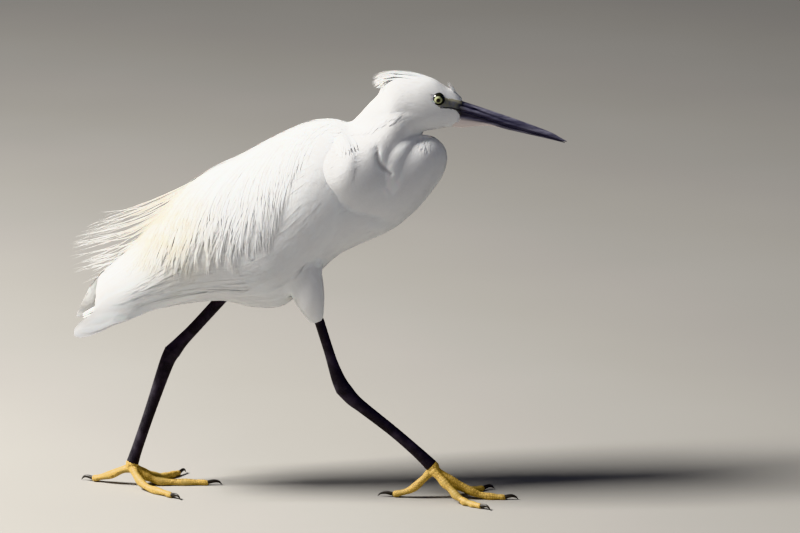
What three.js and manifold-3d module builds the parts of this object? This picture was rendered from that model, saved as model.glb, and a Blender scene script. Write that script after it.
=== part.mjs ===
// A little egret in mid-stride, life size, in millimetres.
// X points where the bird walks, Y to its left, Z up, and its toes rest on Z = 0.
// Every part of the body is a closed solid of its own, parted from the next by a thin seam.
import * as THREE from "three";
import { mergeGeometries, mergeVertices } from "three/addons/utils/BufferGeometryUtils.js";
import Module from "manifold-3d";

const wasm = await Module();
wasm.setup();

const DEGREE = Math.PI / 180;
const SEAM = 0.3;
const WELD = 1e-4;
const UP = new THREE.Vector3(0, 0, 1);
const LEFT = new THREE.Vector3(0, 1, 0);

// Body outline from neck to tail: [back x, back z, belly x, belly z, half width]
const BODY_RUNGS = [
  [91, 301, 125, 252, 15],
  [83.5, 314.5, 129, 232.5, 26.5],
  [69.5, 318.5, 110.5, 219.5, 36],
  [51, 316, 88.5, 210, 42],
  [31, 308.5, 69.5, 199, 45],
  [10, 297.5, 47.5, 176, 45.5],
  [-11.5, 285, 28.5, 159.5, 45],
  [-33, 273, 5, 157.5, 43],
  [-52.5, 259.5, -19.5, 163, 40],
  [-70.5, 242, -42.5, 162, 36],
  [-86, 223.5, -64, 158.5, 32],
  [-101, 206.5, -82, 154.5, 28],
  [-113, 195.5, -97, 148.5, 25],
  [-123, 186.5, -110, 145, 23.5],
  [-133, 174.5, -124.5, 139, 22.5],
  [-144.5, 160, -138, 136, 21.5],
  [-153, 149, -148, 136, 19],
];
// Head and upper neck, from the face backwards and down
const HEAD_RUNGS = [
  [174.4, 332.5, 174, 308.6, 6.6],
  [168, 339, 166.5, 308.5, 8.4],
  [160, 344, 160, 308, 10.4],
  [151, 350, 152.5, 306.5, 12],
  [140, 354, 146, 305.5, 13.4],
  [128.5, 356, 140, 303.5, 14],
  [118, 356, 135.5, 301, 14.2],
  [109, 350, 129.5, 297.5, 14.5],
  [102.5, 339, 123, 292.5, 15],
  [95, 329, 116.5, 287.5, 16],
  [86, 319, 110, 281.5, 17.5],
  [78, 310.5, 103.5, 275, 19],
  [72, 300, 97, 269, 19],
];
// The lower neck folded forward in front of the breast
const NECK_RUNGS = [
  [135.5, 302, 147.5, 303.5, 5],
  [129.5, 297.5, 154, 299.5, 11],
  [120.5, 290, 160.5, 292, 15],
  [113, 281.5, 162.5, 281.5, 17],
  [108, 271.5, 158.5, 268, 19],
  [102.5, 262.5, 149, 254, 22],
  [92, 256.5, 137, 239.5, 25],
  [82, 252, 122, 228, 25],
  [74, 248, 106, 226, 22],
];
// Rump, tail coverts and closed tail
const TAIL_RUNGS = [
  [-97, 200, -79.5, 156, 20],
  [-104, 189, -90, 152, 17.5],
  [-112, 177.5, -101, 150, 15.5],
  [-119, 169, -112, 150.5, 14.5],
  [-126, 162.5, -121.5, 151, 14],
];
const BODY_FULLNESS = 0.03;
const REAR_CUT = 10.75;

const FEATHER = { color: 0xf4f3ee, roughness: 0.85, metalness: 0 };
const BILL_BLACK = { color: 0x24262c, roughness: 0.45, metalness: 0 };
const LEG_BLACK = { color: 0x1f1f22, roughness: 0.6, metalness: 0 };
const TOE_YELLOW = { color: 0xb99a2c, roughness: 0.65, metalness: 0 };
const CLAW_BLACK = { color: 0x1b1917, roughness: 0.5, metalness: 0 };
const EYE_YELLOW = { color: 0xd9cf7a, roughness: 0.1, metalness: 0 };

const group = new THREE.Group();

function mix(a, b, t) {
  return a + (b - a) * t;
}

// Straight lines between [place, value] pairs, level beyond the ends
function profile(pairs, place) {
  if (place <= pairs[0][0]) return pairs[0][1];
  for (let i = 1; i < pairs.length; i += 1) {
    if (place <= pairs[i][0]) {
      const [fromPlace, fromValue] = pairs[i - 1];
      const [toPlace, toValue] = pairs[i];
      return mix(fromValue, toValue, (place - fromPlace) / (toPlace - fromPlace));
    }
  }
  return pairs[pairs.length - 1][1];
}

// A closed three.js geometry becomes a solid, with its faces turned outwards
function solid(geometry) {
  const bare = geometry.clone();
  bare.deleteAttribute("normal");
  bare.deleteAttribute("uv");
  const merged = mergeVertices(bare, WELD);
  const place = merged.getAttribute("position");
  const corners = merged.getIndex().array;
  const kept = [];
  let volume = 0;
  const [a, b, c] = [new THREE.Vector3(), new THREE.Vector3(), new THREE.Vector3()];
  for (let i = 0; i < corners.length; i += 3) {
    const [p, q, r] = [corners[i], corners[i + 1], corners[i + 2]];
    if (p === q || q === r || r === p) continue;
    a.fromBufferAttribute(place, p);
    b.fromBufferAttribute(place, q);
    c.fromBufferAttribute(place, r);
    volume += a.dot(b.cross(c));
    kept.push(p, q, r);
  }
  if (volume < 0) kept.reverse();
  return new wasm.Manifold(new wasm.Mesh({
    numProp: 3,
    vertProperties: new Float32Array(place.array),
    triVerts: new Uint32Array(kept),
  }));
}

// Moves each vertex of a geometry to where the rule sends it
function reshape(geometry, rule) {
  const place = geometry.getAttribute("position");
  const point = new THREE.Vector3();
  for (let i = 0; i < place.count; i += 1) {
    const moved = rule(point.fromBufferAttribute(place, i));
    place.setXYZ(i, moved.x, moved.y, moved.z);
  }
  return geometry;
}

function largest(body) {
  const parts = body.decompose();
  return parts.reduce((best, part) => (part.volume() > best.volume() ? part : best));
}

function joined(bodies) {
  return largest(wasm.Manifold.union(bodies));
}

function addNode(name, body, finish) {
  const mesh = body.getMesh();
  const geometry = new THREE.BufferGeometry();
  geometry.setAttribute("position", new THREE.BufferAttribute(mesh.vertProperties, 3));
  geometry.setIndex(new THREE.BufferAttribute(mesh.triVerts, 1));
  const node = new THREE.Mesh(geometry, new THREE.MeshStandardMaterial(finish));
  node.name = name;
  group.add(node);
}

// A smooth curve through all of its points
function smoothLine(points) {
  return new THREE.CatmullRomCurve3(points, false, "catmullrom", 0.5);
}

// A rounded form strung between a back line and a belly line.
// Its angle is 0 on the back, positive towards the bird's right side and 180 degrees on the belly.
class Ladder {
  constructor(rungs, fullness = 0) {
    this.last = rungs.length - 1;
    this.back = smoothLine(rungs.map(([x, z]) => new THREE.Vector3(x, 0, z)));
    this.belly = smoothLine(rungs.map(([, , x, z, half]) => new THREE.Vector3(x, half, z)));
    this.fullness = fullness;
  }

  rung(u) {
    const back = this.back.getPoint(u / this.last);
    const belly = this.belly.getPoint(u / this.last);
    const half = belly.y;
    belly.y = 0;
    const centre = back.clone().add(belly).multiplyScalar(0.5);
    return { centre, rise: back.sub(centre), half };
  }

  skin(u, angle) {
    const { centre, rise, half } = this.rung(u);
    const full = 1 + this.fullness * Math.sin(2 * angle) ** 2;
    const point = centre.addScaledVector(rise, Math.cos(angle) * full);
    point.y = -half * Math.sin(angle) * full;
    return point;
  }

  normal(u, angle) {
    const step = 0.02;
    const ahead = this.skin(Math.min(u + step, this.last), angle);
    const along = ahead.sub(this.skin(Math.max(u - step, 0), angle));
    const across = this.skin(u, angle + step).sub(this.skin(u, angle - step));
    const out = across.cross(along).normalize();
    const away = this.skin(u, angle).sub(this.rung(u).centre);
    return out.dot(away) < 0 ? out.negate() : out;
  }

  point(u, angle, lift = 0) {
    return this.skin(u, angle).addScaledVector(this.normal(u, angle), lift);
  }
}

function ladderSolid(ladder, from, to, steps, around, lift = 0) {
  const tube = new THREE.CylinderGeometry(1, 1, 1, around, steps);
  return solid(reshape(tube, (p) => {
    const u = mix(from, to, 0.5 - p.y);
    if (Math.hypot(p.x, p.z) < 0.5) return ladder.rung(u).centre;
    return lift === 0 ? ladder.skin(u, Math.atan2(p.x, p.z)) : ladder.point(u, Math.atan2(p.x, p.z), lift);
  }));
}

// A round limb along a smooth line. Each stop is [x, y, z, half size across the reference,
// half size along it]. Grown, it is the room that the next piece leaves free.
function limb(stops, reference, around, steps, grow = 0) {
  const line = smoothLine(stops.map(([x, y, z]) => new THREE.Vector3(x, y, z)));
  const sizes = smoothLine(stops.map(([, , , a, b]) => new THREE.Vector3(a, b, 0)));
  const tube = new THREE.CylinderGeometry(1, 1, 1, around, steps);
  return solid(reshape(tube, (p) => {
    const t = Math.min(Math.max(0.5 - p.y, 0), 1);
    const ahead = line.getTangent(t);
    const side = ahead.clone().cross(reference).normalize();
    const over = side.clone().cross(ahead).normalize();
    const size = sizes.getPoint(t).addScalar(grow);
    const reach = Math.abs(p.y) > 0.499 ? -Math.sign(p.y) * grow : 0;
    return line.getPoint(t).addScaledVector(ahead, reach)
      .addScaledVector(side, p.x * size.x).addScaledVector(over, p.z * size.y);
  }));
}

// A feather as rows { at, side, up, half, thick, droop } from root to tip: two grids that share
// their rim and part along the shaft, split into triangles alike on both faces
function feather(rows) {
  const steps = rows.length - 1;
  const face = (turn) => reshape(new THREE.PlaneGeometry(2, 1, 2, steps), (p) => {
    const { at, side, up, half, thick, droop } = rows[Math.round((0.5 - p.y) * steps)];
    const rise = Math.abs(p.x) < 0.5 ? turn * thick : -droop;
    return at.clone().addScaledVector(side, p.x * half).addScaledVector(up, rise);
  });
  const under = face(-1);
  under.getIndex().array.reverse();
  return solid(mergeGeometries([face(1), under]));
}

// Rows of a feather from root to tip: place along it, share of its half width and of its thickness
const VANE = [[0, 0.5, 0], [0.16, 0.85, 1], [0.5, 1, 1], [0.86, 0.7, 0.8], [1, 0, 0]];
const BLUNT = [[0, 0.5, 0], [0.16, 0.85, 1], [0.55, 1, 1], [0.92, 0.8, 0.8], [1, 0, 0]];
const LANCE = [[0, 0.6, 0], [0.13, 0.9, 1], [0.36, 1, 1], [0.62, 0.95, 1], [0.85, 0.6, 0.8], [1, 0, 0]];
const PLUME = [[0, 0.7, 0], [0.12, 1, 1], [0.36, 1, 1], [0.62, 0.85, 1], [0.84, 0.55, 0.8], [1, 0, 0]];
const ROLL = 6.5 * DEGREE;

// A feather that starts below the surface of a form and then lies over it. Its route gives
// [rung, angle] at each place along it, and each row of the vane has its lift over the form.
// A camber above 0 bends the vane down on both sides of its shaft, as the form under it bends.
function featherOn(form, route, half, lifts, { roll = 0, thick = 0.45, camber = 0, rows = VANE } = {}) {
  const spot = (t, lift) => form.point(...route(t), lift);
  return feather(rows.map(([t, wide, deep], i) => {
    const ahead = spot(t + 0.01, 0).sub(spot(t - 0.01, 0)).normalize();
    const normal = form.normal(...route(t));
    const flat = normal.clone().cross(ahead).normalize();
    const side = flat.clone().multiplyScalar(Math.cos(roll)).addScaledVector(normal, Math.sin(roll));
    const up = side.clone().cross(ahead).normalize().negate();
    const droop = camber * (half * wide) ** 2;
    return { at: spot(t, lifts[i]), side, up, half: half * wide, thick: thick * deep, droop };
  }));
}

// A straight route between two [rung, angle in degrees] ends; above 1, bend keeps the angle late
function routeOver(from, to, bend = 1) {
  return (t) => [mix(from[0], to[0], t), mix(from[1], to[1], Math.max(t, 0) ** bend) * DEGREE];
}

function spread(count, rule) {
  return Array.from({ length: count }, (_, i) => rule(count > 1 ? i / (count - 1) : 0, i));
}

// Thin upright blades of air, as one solid with mitred corners. The walk goes once round all of
// them as seen from the side, out along each line and back.
function parting(walk) {
  const stops = walk.map(([x, z]) => new THREE.Vector2(x, z));
  const leftOf = (from, to) => {
    const ahead = to.clone().sub(from).normalize();
    return new THREE.Vector2(-ahead.y, ahead.x);
  };
  const outline = stops.flatMap((stop, i) => {
    const before = stops.at(i - 1);
    const after = stops[(i + 1) % stops.length];
    const [near, far] = [leftOf(before, stop), leftOf(stop, after)];
    const reach = SEAM / 2;
    if (before.equals(after)) return [near, far].map((left) => stop.clone().addScaledVector(left, reach));
    return [stop.clone().addScaledVector(near.clone().add(far), reach / (1 + near.dot(far)))];
  });
  const breadth = 120;
  const blades = new THREE.ExtrudeGeometry(new THREE.Shape(outline), { depth: breadth, bevelEnabled: false });
  blades.rotateX(90 * DEGREE);
  blades.translate(0, breadth / 2, 0);
  return solid(blades);
}

function nearestPart(parts, x, z) {
  const distance = (part) => {
    const { min, max } = part.boundingBox();
    return Math.hypot((min[0] + max[0]) / 2 - x, (min[2] + max[2]) / 2 - z);
  };
  return parts.reduce((best, part) => (distance(part) < distance(best) ? part : best));
}

const body = new Ladder(BODY_RUNGS, BODY_FULLNESS);
const headForm = new Ladder(HEAD_RUNGS);
const neckForm = new Ladder(NECK_RUNGS);
const tailForm = new Ladder(TAIL_RUNGS);

// How deep the folded wings and the mantle lie below the outer plumage
function coverDepth(u) {
  return profile([[2, 6.2], [8, 7], [11, 5.2], [14, 3.6]], u);
}

// Where the wings leave the mantle, and where their lower edge runs, in degrees from the back
const WING_TOP = [[2, 34], [4, 30], [10, 26], [13, 18], [16, 30]];
const WING_FOOT = [
  [2, 100], [3, 118], [4, 134], [5, 137], [6, 133], [8, 142], [10, 138], [13, 124], [16, 118],
];

function wingTop(u) {
  return profile(WING_TOP, u) * DEGREE;
}

function wingFoot(u) {
  return profile(WING_FOOT, u) * DEGREE;
}

const SIDES = [{ name: "right", sign: 1 }, { name: "left", sign: -1 }];

// The rear edge of a wing's core, short of its feather tips. The right wing's inner feathers
// stop short, and the left wing's reach the end of the tail.
function wingEnd(across, sign) {
  const edge = sign > 0
    ? [[0, 11.9], [0.62, 12.1], [0.8, 13.2], [0.92, 13.5], [1, 13]]
    : [[0, 12.9], [0.4, 13.4], [0.75, 14.2], [1, 13.4]];
  return profile(edge, across);
}

// Where the tips of the longest feathers reach
function tipLine(across, sign) {
  const edge = sign > 0
    ? [[0, 12.8], [0.6, 13.1], [0.78, 14.3], [0.9, 14.8], [0.97, 14]]
    : [[0, 14.1], [0.4, 14.7], [0.72, 15.4], [0.97, 14.3]];
  return profile(edge, across);
}

// The front edge of a wing curves back towards its foot
function wingFront(across) {
  return 2.15 + 0.25 * across + 1.1 * across ** 3;
}

// Each degree that a room is wider than what it holds also makes it this many rungs longer
const RUNGS_PER_DEGREE = 0.03;

// A layer of the wing between two depths; grown by a margin in degrees it is the room for the wing
function wingLayer(sign, inner, outer, margin) {
  const slab = new THREE.BoxGeometry(1, 1, 1, 14, 6, 1);
  return solid(reshape(slab, (p) => {
    const along = p.x + 0.5;
    const across = p.y + 0.5;
    const front = wingFront(across) - margin * RUNGS_PER_DEGREE;
    const end = wingEnd(across, sign) + margin * RUNGS_PER_DEGREE;
    const u = mix(front, end, along);
    const slack = margin * DEGREE;
    const angle = mix(wingTop(u) - slack, wingFoot(u) + slack, across);
    const lift = p.z < 0 ? inner(u) : outer(u);
    return body.point(u, sign * angle, lift);
  }));
}

// The same for the mantle, which covers the back between the wings and stops just short of them
const MANTLE_FRONT = 1.95;
const MANTLE_INSET = 1.3;

function mantleLayer(end, inner, outer, margin) {
  const slab = new THREE.BoxGeometry(1, 1, 1, 14, 4, 1);
  return solid(reshape(slab, (p) => {
    const u = mix(MANTLE_FRONT - margin * RUNGS_PER_DEGREE, end, p.x + 0.5);
    const edge = wingTop(u) - (MANTLE_INSET - margin) * DEGREE;
    const lift = p.z < 0 ? inner(u) : outer(u);
    return body.point(u, 2 * p.y * edge, lift);
  }));
}

// Heights over the body's surface: the rooms' floor and top, and the cores' floor and tops
const OUTSIDE = 14;
const roomFloor = (u) => -coverDepth(u) - 0.6;
const roomTop = () => OUTSIDE;
const coverFloor = (u) => -coverDepth(u);
const wingCoreTop = (u) => profile([[2, -3.4], [8, -4], [11, -3.3], [14, -2.2]], u);
const mantleCoreTop = (u) => profile([[2, -0.4], [3, -1.4], [14, -1.4]], u);

const WING_MARGIN = 1.6;
const rightRoom = wingLayer(1, roomFloor, roomTop, WING_MARGIN);
const leftRoom = wingLayer(-1, roomFloor, roomTop, WING_MARGIN);
const mantleRoom = mantleLayer(12.8, roomFloor, roomTop, 2.2);

// Lesser, median and greater coverts of a folded wing. Each tier runs from the share low of the way
// down the wing to the share high, and its roots and tips from one rung there to another.
const WING_TIERS = [
  { count: 5, low: 0.83, high: 0.17, roots: [3.3, 3.1], tips: [4.7, 4.9], half: 10 },
  { count: 5, low: 0.85, high: 0.15, roots: [4.2, 4.5], tips: [6, 6.7], half: 10.6 },
  { count: 6, low: 0.88, high: 0.12, roots: [5.4, 6.1], tips: [7.8, 9], half: 9.8 },
];

// Lift of a feather's rows over the body, from its root in the wing's core to its tip
const COVERT_LIFTS = [-5.3, -3.2, -2.3, -1.3, -0.9];
const FLIGHT_LIFTS = [-5, -3.5, -2.4, -1.8, -1.4];
const WING_CAMBER = 0.012;

function wingAngle(u, across) {
  return mix(wingTop(u), wingFoot(u), across);
}

function wingRoute(sign, from, to) {
  return (t) => {
    const u = mix(from[0], to[0], t);
    return [u, sign * wingAngle(u, mix(from[1], to[1], t))];
  };
}

function wingFeathers(sign) {
  const lie = { roll: sign * ROLL, camber: WING_CAMBER };
  const blunt = { ...lie, rows: BLUNT };
  const coverts = WING_TIERS.flatMap(({ count, low, high, roots, tips, half }) => spread(count, (s) => {
    const across = mix(low, high, s);
    const from = [mix(...roots, s), across];
    const to = [mix(...tips, s), Math.min(across + 0.03, 0.95)];
    return featherOn(body, wingRoute(sign, from, to), half, COVERT_LIFTS, lie);
  }));
  const secondaries = spread(6, (s) => {
    const across = mix(0.84, 0.08, s);
    const from = [mix(7.2, 8.6, s), across];
    const to = [tipLine(across, sign) - mix(2.6, 0, Math.min(s * 3, 1)), Math.min(across + 0.04, 0.95)];
    return featherOn(body, wingRoute(sign, from, to), mix(8.4, 10, s), FLIGHT_LIFTS, blunt);
  });
  const primaries = spread(4, (s) => {
    const across = mix(0.88, 0.74, s);
    const from = [mix(9.6, 10.2, s), across - 0.03];
    const to = [tipLine(mix(0.97, 0.82, s), sign), mix(0.97, 0.8, s)];
    return featherOn(body, wingRoute(sign, from, to), 5.6, FLIGHT_LIFTS, blunt);
  });
  return [...coverts, ...secondaries, ...primaries];
}

// Long shoulder feathers that start at the mantle's edge and hang over the wing
const SCAPULAR_TIPS = [[4.8, 90], [5.4, 98], [6.7, 113], [8.2, 118], [9.4, 113], [10.6, 98], [12, 70]];
const SCAPULAR_LIFTS = [-3.2, 0.9, 1.9, 2.1, 1.9, 1.5];

function scapulars(sign) {
  const lance = { roll: -sign * ROLL, rows: LANCE };
  const long = spread(10, (s) => {
    const tip = mix(4.8, 12, s);
    const from = [mix(2.4, 9.6, s), 20 * sign];
    const to = [tip, profile(SCAPULAR_TIPS, tip) * sign];
    return featherOn(body, routeOver(from, to, 0.9), 8.2, SCAPULAR_LIFTS, lance);
  });
  const wrist = spread(2, (s) => {
    const from = [mix(2.15, 2.5, s), 22 * sign];
    const to = [mix(2.75, 3.5, s), mix(80, 74, s) * sign];
    return featherOn(body, routeOver(from, to), 7, SCAPULAR_LIFTS, { rows: LANCE });
  });
  return [...wrist, ...long];
}

// Loose breeding plumes in five columns of four layers, the upper ones rooted further forward
const PLUME_LAYERS = [
  { root: 6.3, tip: 11.3, rise: 33 }, { root: 7.1, tip: 12.5, rise: 36 },
  { root: 7.9, tip: 12.9, rise: 23 }, { root: 8.7, tip: 13.1, rise: 11 },
];

function plumes() {
  return PLUME_LAYERS.flatMap(({ root, tip, rise }, layer) => spread(5, (s, column) => {
    const angle = mix(-16, 16, s);
    const early = ((column * 3 + layer) % 5) * 0.13;
    const from = [root + early, angle];
    const to = [tip - early * 1.4, angle * 1.35];
    const top = rise * (1 - 0.06 * Math.abs(column - 2)) - early * 4;
    const lifts = [-3.2, 0.6, 1 + top * 0.08, 1 + top * 0.27, top * 0.6, top];
    return featherOn(body, routeOver(from, to), 1.5, lifts, { thick: 0.4, rows: PLUME });
  }));
}

// Twelve tail feathers, each laid a little under the one before it, from the middle pair outwards,
// with the left side carried higher
const TAIL_LAYER = 0.62;

function tailFeathers() {
  const slope = new THREE.Vector3(-0.465, 0, 0.885);
  return spread(12, (s, i) => {
    const pair = Math.floor(i / 2);
    const out = (i % 2 ? 1 : -1) * (pair + 0.5) / 5.5;
    const sunk = slope.clone().multiplyScalar(-TAIL_LAYER * i);
    const root = new THREE.Vector3(-104, -3 * out, 169.5 - 1.5 * out).add(sunk);
    const tip = new THREE.Vector3(-147.5 + 4 * out * out, -12.5 * out, 151 - 3 * out).add(sunk);
    const ahead = tip.clone().sub(root).normalize();
    const side = slope.clone().cross(ahead).normalize();
    const up = ahead.clone().cross(side).normalize();
    return feather(BLUNT.map(([t, wide, deep]) => (
      { at: root.clone().lerp(tip, t), side, up, half: 5.2 * wide, thick: 0.28 * deep, droop: 0 })));
  });
}

function tailCoverts() {
  return spread(5, (s) => {
    const angle = mix(140, 220, s);
    return featherOn(tailForm, routeOver([0.9, angle], [mix(3.7, 3.95, 1 - Math.abs(2 * s - 1)), angle]), 6,
      [-3, 0.3, 0.8, 0.8, 0.6]);
  });
}

// The fleshy body, modelled whole and parted into head, two lengths of neck and torso
const NAPE = [96, 342];
const THROAT = [136, 302.6];
const CHIN = [160, 305.2];
const CORE = [105.6, 275.7];
const SHOULDER = [82, 318];
const BREAST = [122, 216];

function bodyParts() {
  const whole = wasm.Manifold.union([
    ladderSolid(body, 0, REAR_CUT, 16, 16),
    ladderSolid(headForm, 0, HEAD_RUNGS.length - 1, 16, 12),
    ladderSolid(neckForm, 0, NECK_RUNGS.length - 1, 9, 14),
  ]);
  const cut = parting([NAPE, THROAT, CHIN, THROAT, CORE, BREAST, CORE, SHOULDER, CORE, THROAT]);
  const rooms = wasm.Manifold.union([cut, rightRoom, leftRoom, mantleRoom]);
  const parts = whole.subtract(rooms).decompose();
  return {
    head: nearestPart(parts, 140, 328),
    neckUpper: nearestPart(parts, 107, 306),
    neckLower: nearestPart(parts, 137, 264),
    torso: parts.reduce((best, part) => (part.volume() > best.volume() ? part : best)),
  };
}

// Bill halves, from the face to the tip: [x, outer z, mouth line z, half width]
const BILL_UPPER = [
  [174.7, 332, 322.5, 6.5], [184.5, 327.5, 319.5, 5.6], [197, 322.5, 315, 4.8], [213, 317, 309.5, 3.9],
  [229.5, 311, 305, 3], [246, 304.5, 300, 2], [254, 300, 297.5, 1.2], [259, 297.1, 296.4, 0.5],
];
const BILL_LOWER = [
  [174.7, 308.6, 322.5, 6.4], [184.5, 309.5, 319.5, 5.4], [197, 309.8, 315, 4.6], [213, 306.2, 309.5, 3.7],
  [229.5, 302.4, 305, 2.8], [246, 298.5, 300, 1.8], [254, 296.5, 297.5, 1.1], [257.5, 295.6, 296.4, 0.4],
];
const MOUTH_GAP = 0.2;

function billHalf(stops, away) {
  const outer = smoothLine(stops.map(([x, z]) => new THREE.Vector3(x, 0, z)));
  const mouth = smoothLine(stops.map(([x, , z, half]) => new THREE.Vector3(x, half, z)));
  const tube = new THREE.CylinderGeometry(1, 1, 1, 10, 9);
  return solid(reshape(tube, (p) => {
    const t = Math.min(Math.max(0.5 - p.y, 0), 1);
    const rim = outer.getPoint(t);
    const line = mouth.getPoint(t);
    const base = line.z + away * MOUTH_GAP;
    const height = rim.z - base;
    const rise = Math.hypot(p.x, p.z) < 0.5 ? 0.4 : Math.max(p.z, 0);
    return p.set(rim.x, p.x * line.y, base + height * rise);
  }));
}

// Eyes
const EYE = new THREE.Vector3(154, 6.6, 334.2);
const EYE_RADIUS = 5.4;

function ball(centre, radius, sign, around, rings) {
  const sphere = new THREE.SphereGeometry(radius, around, rings);
  sphere.translate(centre.x, -sign * centre.y, centre.z);
  return solid(sphere);
}

const LID_RADIUS = 4.5;
const LID_THICKNESS = 0.75;

function lid(sign) {
  const ring = new THREE.TorusGeometry(LID_RADIUS, LID_THICKNESS, 5, 11);
  ring.rotateX(90 * DEGREE);
  ring.translate(EYE.x, -sign * (EYE.y + 4), EYE.z);
  return solid(ring);
}

// The line of the mouth runs back from the bill to below the eye
function gape(sign) {
  const stops = spread(4, (s) => {
    const spot = headForm.point(mix(0, 2.4, s), sign * mix(80, 91, s) * DEGREE, 0.15);
    return [spot.x, spot.y, spot.z, mix(0.7, 0.35, s), mix(0.6, 0.3, s)];
  });
  return limb(stops, LEFT, 5, 4, 0);
}

function nostril(sign) {
  const slit = new THREE.SphereGeometry(1, 6, 4);
  slit.scale(5, 0.7, 0.6);
  slit.rotateY(25 * DEGREE);
  slit.translate(184, -sign * 5.15, 325);
  return solid(slit);
}

// Shaggy nape feathers in three layers, and a small raised tuft on the forehead
const CREST_LAYERS = [
  { root: 4.5, tip: 6.9, rise: 4 }, { root: 5.1, tip: 7.5, rise: 7.5 }, { root: 5.8, tip: 7.9, rise: 4.5 },
];

function crest() {
  return CREST_LAYERS.flatMap(({ root, tip, rise }, layer) => spread(4 - (layer % 2), (s) => {
    const angle = mix(-34, 34, s);
    const lifts = [-2.2, 0.4, 1 + rise * 0.3, rise * 0.8, rise];
    const end = [tip - Math.abs(s - 0.5) * 0.5, angle * 0.8];
    return featherOn(headForm, routeOver([root, angle], end), 2.1, lifts);
  }));
}

function forelock() {
  return spread(4, (s) => {
    const angle = mix(-30, 30, s);
    const lifts = [-1.8, 0.6, 2, 3.6, 4.6 - Math.abs(s - 0.5) * 2];
    return featherOn(headForm, routeOver([1.05, angle], [2.05, angle]), 1.5, lifts);
  });
}

// Legs: [x, y, z, half depth, half breadth]
const LEGS = {
  right: {
    thigh: [[30, -13, 226, 18, 12], [38, -20, 208, 18, 13], [44, -24.5, 189, 16.5, 12.5],
      [49, -25, 172, 13.5, 11], [53, -23.5, 158.5, 9, 8], [56, -22, 150.2, 5.4, 5]],
    shank: [[55, -22.3, 153, 3.9, 3.6], [65.5, -21.5, 122.5, 3.6, 3.3], [71.3, -21, 103, 4.2, 3.8],
      [76.4, -21, 92, 5.9, 4.6]],
    tarsus: [[75.6, -21, 93, 5.9, 4.6], [83.5, -21, 82.8, 4.6, 3.8], [110.5, -21, 61.5, 3.5, 2.8],
      [137, -20.6, 38.6, 3.8, 3], [149.2, -20.5, 27.6, 4.9, 4.2]],
  },
  left: {
    thigh: [[14, 26, 200, 15, 12], [0, 25, 185.5, 14, 12], [-11.5, 24, 173, 11, 9.5],
      [-22, 22.2, 162, 6, 5.4]],
    shank: [[-20.5, 22.4, 163.5, 4.1, 3.7], [-45, 21, 136.5, 3.7, 3.3], [-57, 21, 123.7, 4.3, 3.8],
      [-64.4, 21, 115.2, 5.8, 4.6]],
    tarsus: [[-64, 21, 116.4, 5.9, 4.6], [-69.5, 21, 104.5, 4.9, 3.9], [-83.5, 20.5, 64, 3.4, 2.8],
      [-93, 20.1, 35.5, 3.8, 3], [-97.4, 20, 22.2, 4.9, 4.2]],
  },
};

// Toes from the heel along the floor, and the tips of their claws, all [x, y, z]
const TOES = {
  right: [
    {
      name: "hallux",
      line: [[150, -20.4, 25], [141, -19.4, 15], [130, -17.6, 6], [117, -15.2, 2.3]],
      claw: [104.5, -13, 0.35],
    },
    {
      name: "inner",
      line: [[150.5, -19, 24.5], [163, -12.6, 13.4], [174.5, -6, 4.6], [183.5, -0.6, 2.3], [192.5, 4.8, 2]],
      claw: [201, 10, 0.35],
    },
    {
      name: "middle",
      line: [[150.5, -20.5, 25], [161, -20.8, 18.4], [175, -21.2, 10.4], [188, -22, 4], [200, -22.6, 2.3],
        [210, -23.2, 2]],
      claw: [220.5, -24, 0.35],
    },
    {
      name: "outer",
      line: [[150.5, -22, 24.5], [162, -30, 13.4], [172.5, -38, 4.6], [181, -44.5, 2.3], [189.5, -51, 2]],
      claw: [197, -57, 0.35],
    },
  ],
  left: [
    {
      name: "hallux",
      line: [[-98.8, 20, 19], [-107, 21.6, 13.6], [-117, 26, 7], [-126, 30.4, 2.6], [-133, 33.4, 2]],
      claw: [-142.5, 37.5, 0.35],
    },
    {
      name: "inner",
      line: [[-98, 19, 18.5], [-93, 11, 9.5], [-85, 1, 3.2], [-75, -9, 2.4], [-65, -18.6, 2]],
      claw: [-57.6, -25.5, 0.35],
    },
    {
      name: "middle",
      line: [[-98, 20, 19], [-88, 20, 11.6], [-79, 20.4, 4.8], [-69, 20.8, 2.5], [-52, 21, 2.3],
        [-36, 21, 2]],
      claw: [-24.6, 21, 0.35],
    },
    {
      name: "outer",
      line: [[-97.6, 21.4, 18.5], [-88, 27.5, 10], [-77, 35, 3.4], [-68, 43.5, 2.4], [-61, 52, 2]],
      claw: [-56, 60.5, 0.35],
    },
  ],
};

// Half height of a toe from the heel to the claw, and its breadth as a share of that
const TOE_HEIGHT = [[0, 3.6], [0.25, 3], [0.5, 2.8], [0.8, 2.45], [1, 2.2]];
const TOE_BREADTH = 0.96;

const belowFloor = solid(new THREE.BoxGeometry(600, 300, 20).translate(0, 0, -10));

function toe(line, grow = 0) {
  return limb(line.map(([x, y, z], i) => {
    const high = profile(TOE_HEIGHT, i / (line.length - 1));
    return [x, y, z, high * TOE_BREADTH, high];
  }), UP, 6, 6, grow);
}

// A hooked claw that arches from inside the toe's end to its tip on the floor
function claw(line, tip) {
  const root = new THREE.Vector3(...line[line.length - 1]);
  const point = new THREE.Vector3(...tip);
  const start = root.clone().lerp(point, -0.08);
  const middle = root.clone().lerp(point, 0.5);
  const hook = limb([
    [start.x, start.y, root.z, 1.6, 1.65],
    [middle.x, middle.y, root.z + 1, 1, 1.2],
    [...tip, 0.25, 0.25],
  ], UP, 5, 3);
  return largest(hook.subtract(belowFloor.add(toe(line, SEAM))));
}

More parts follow.
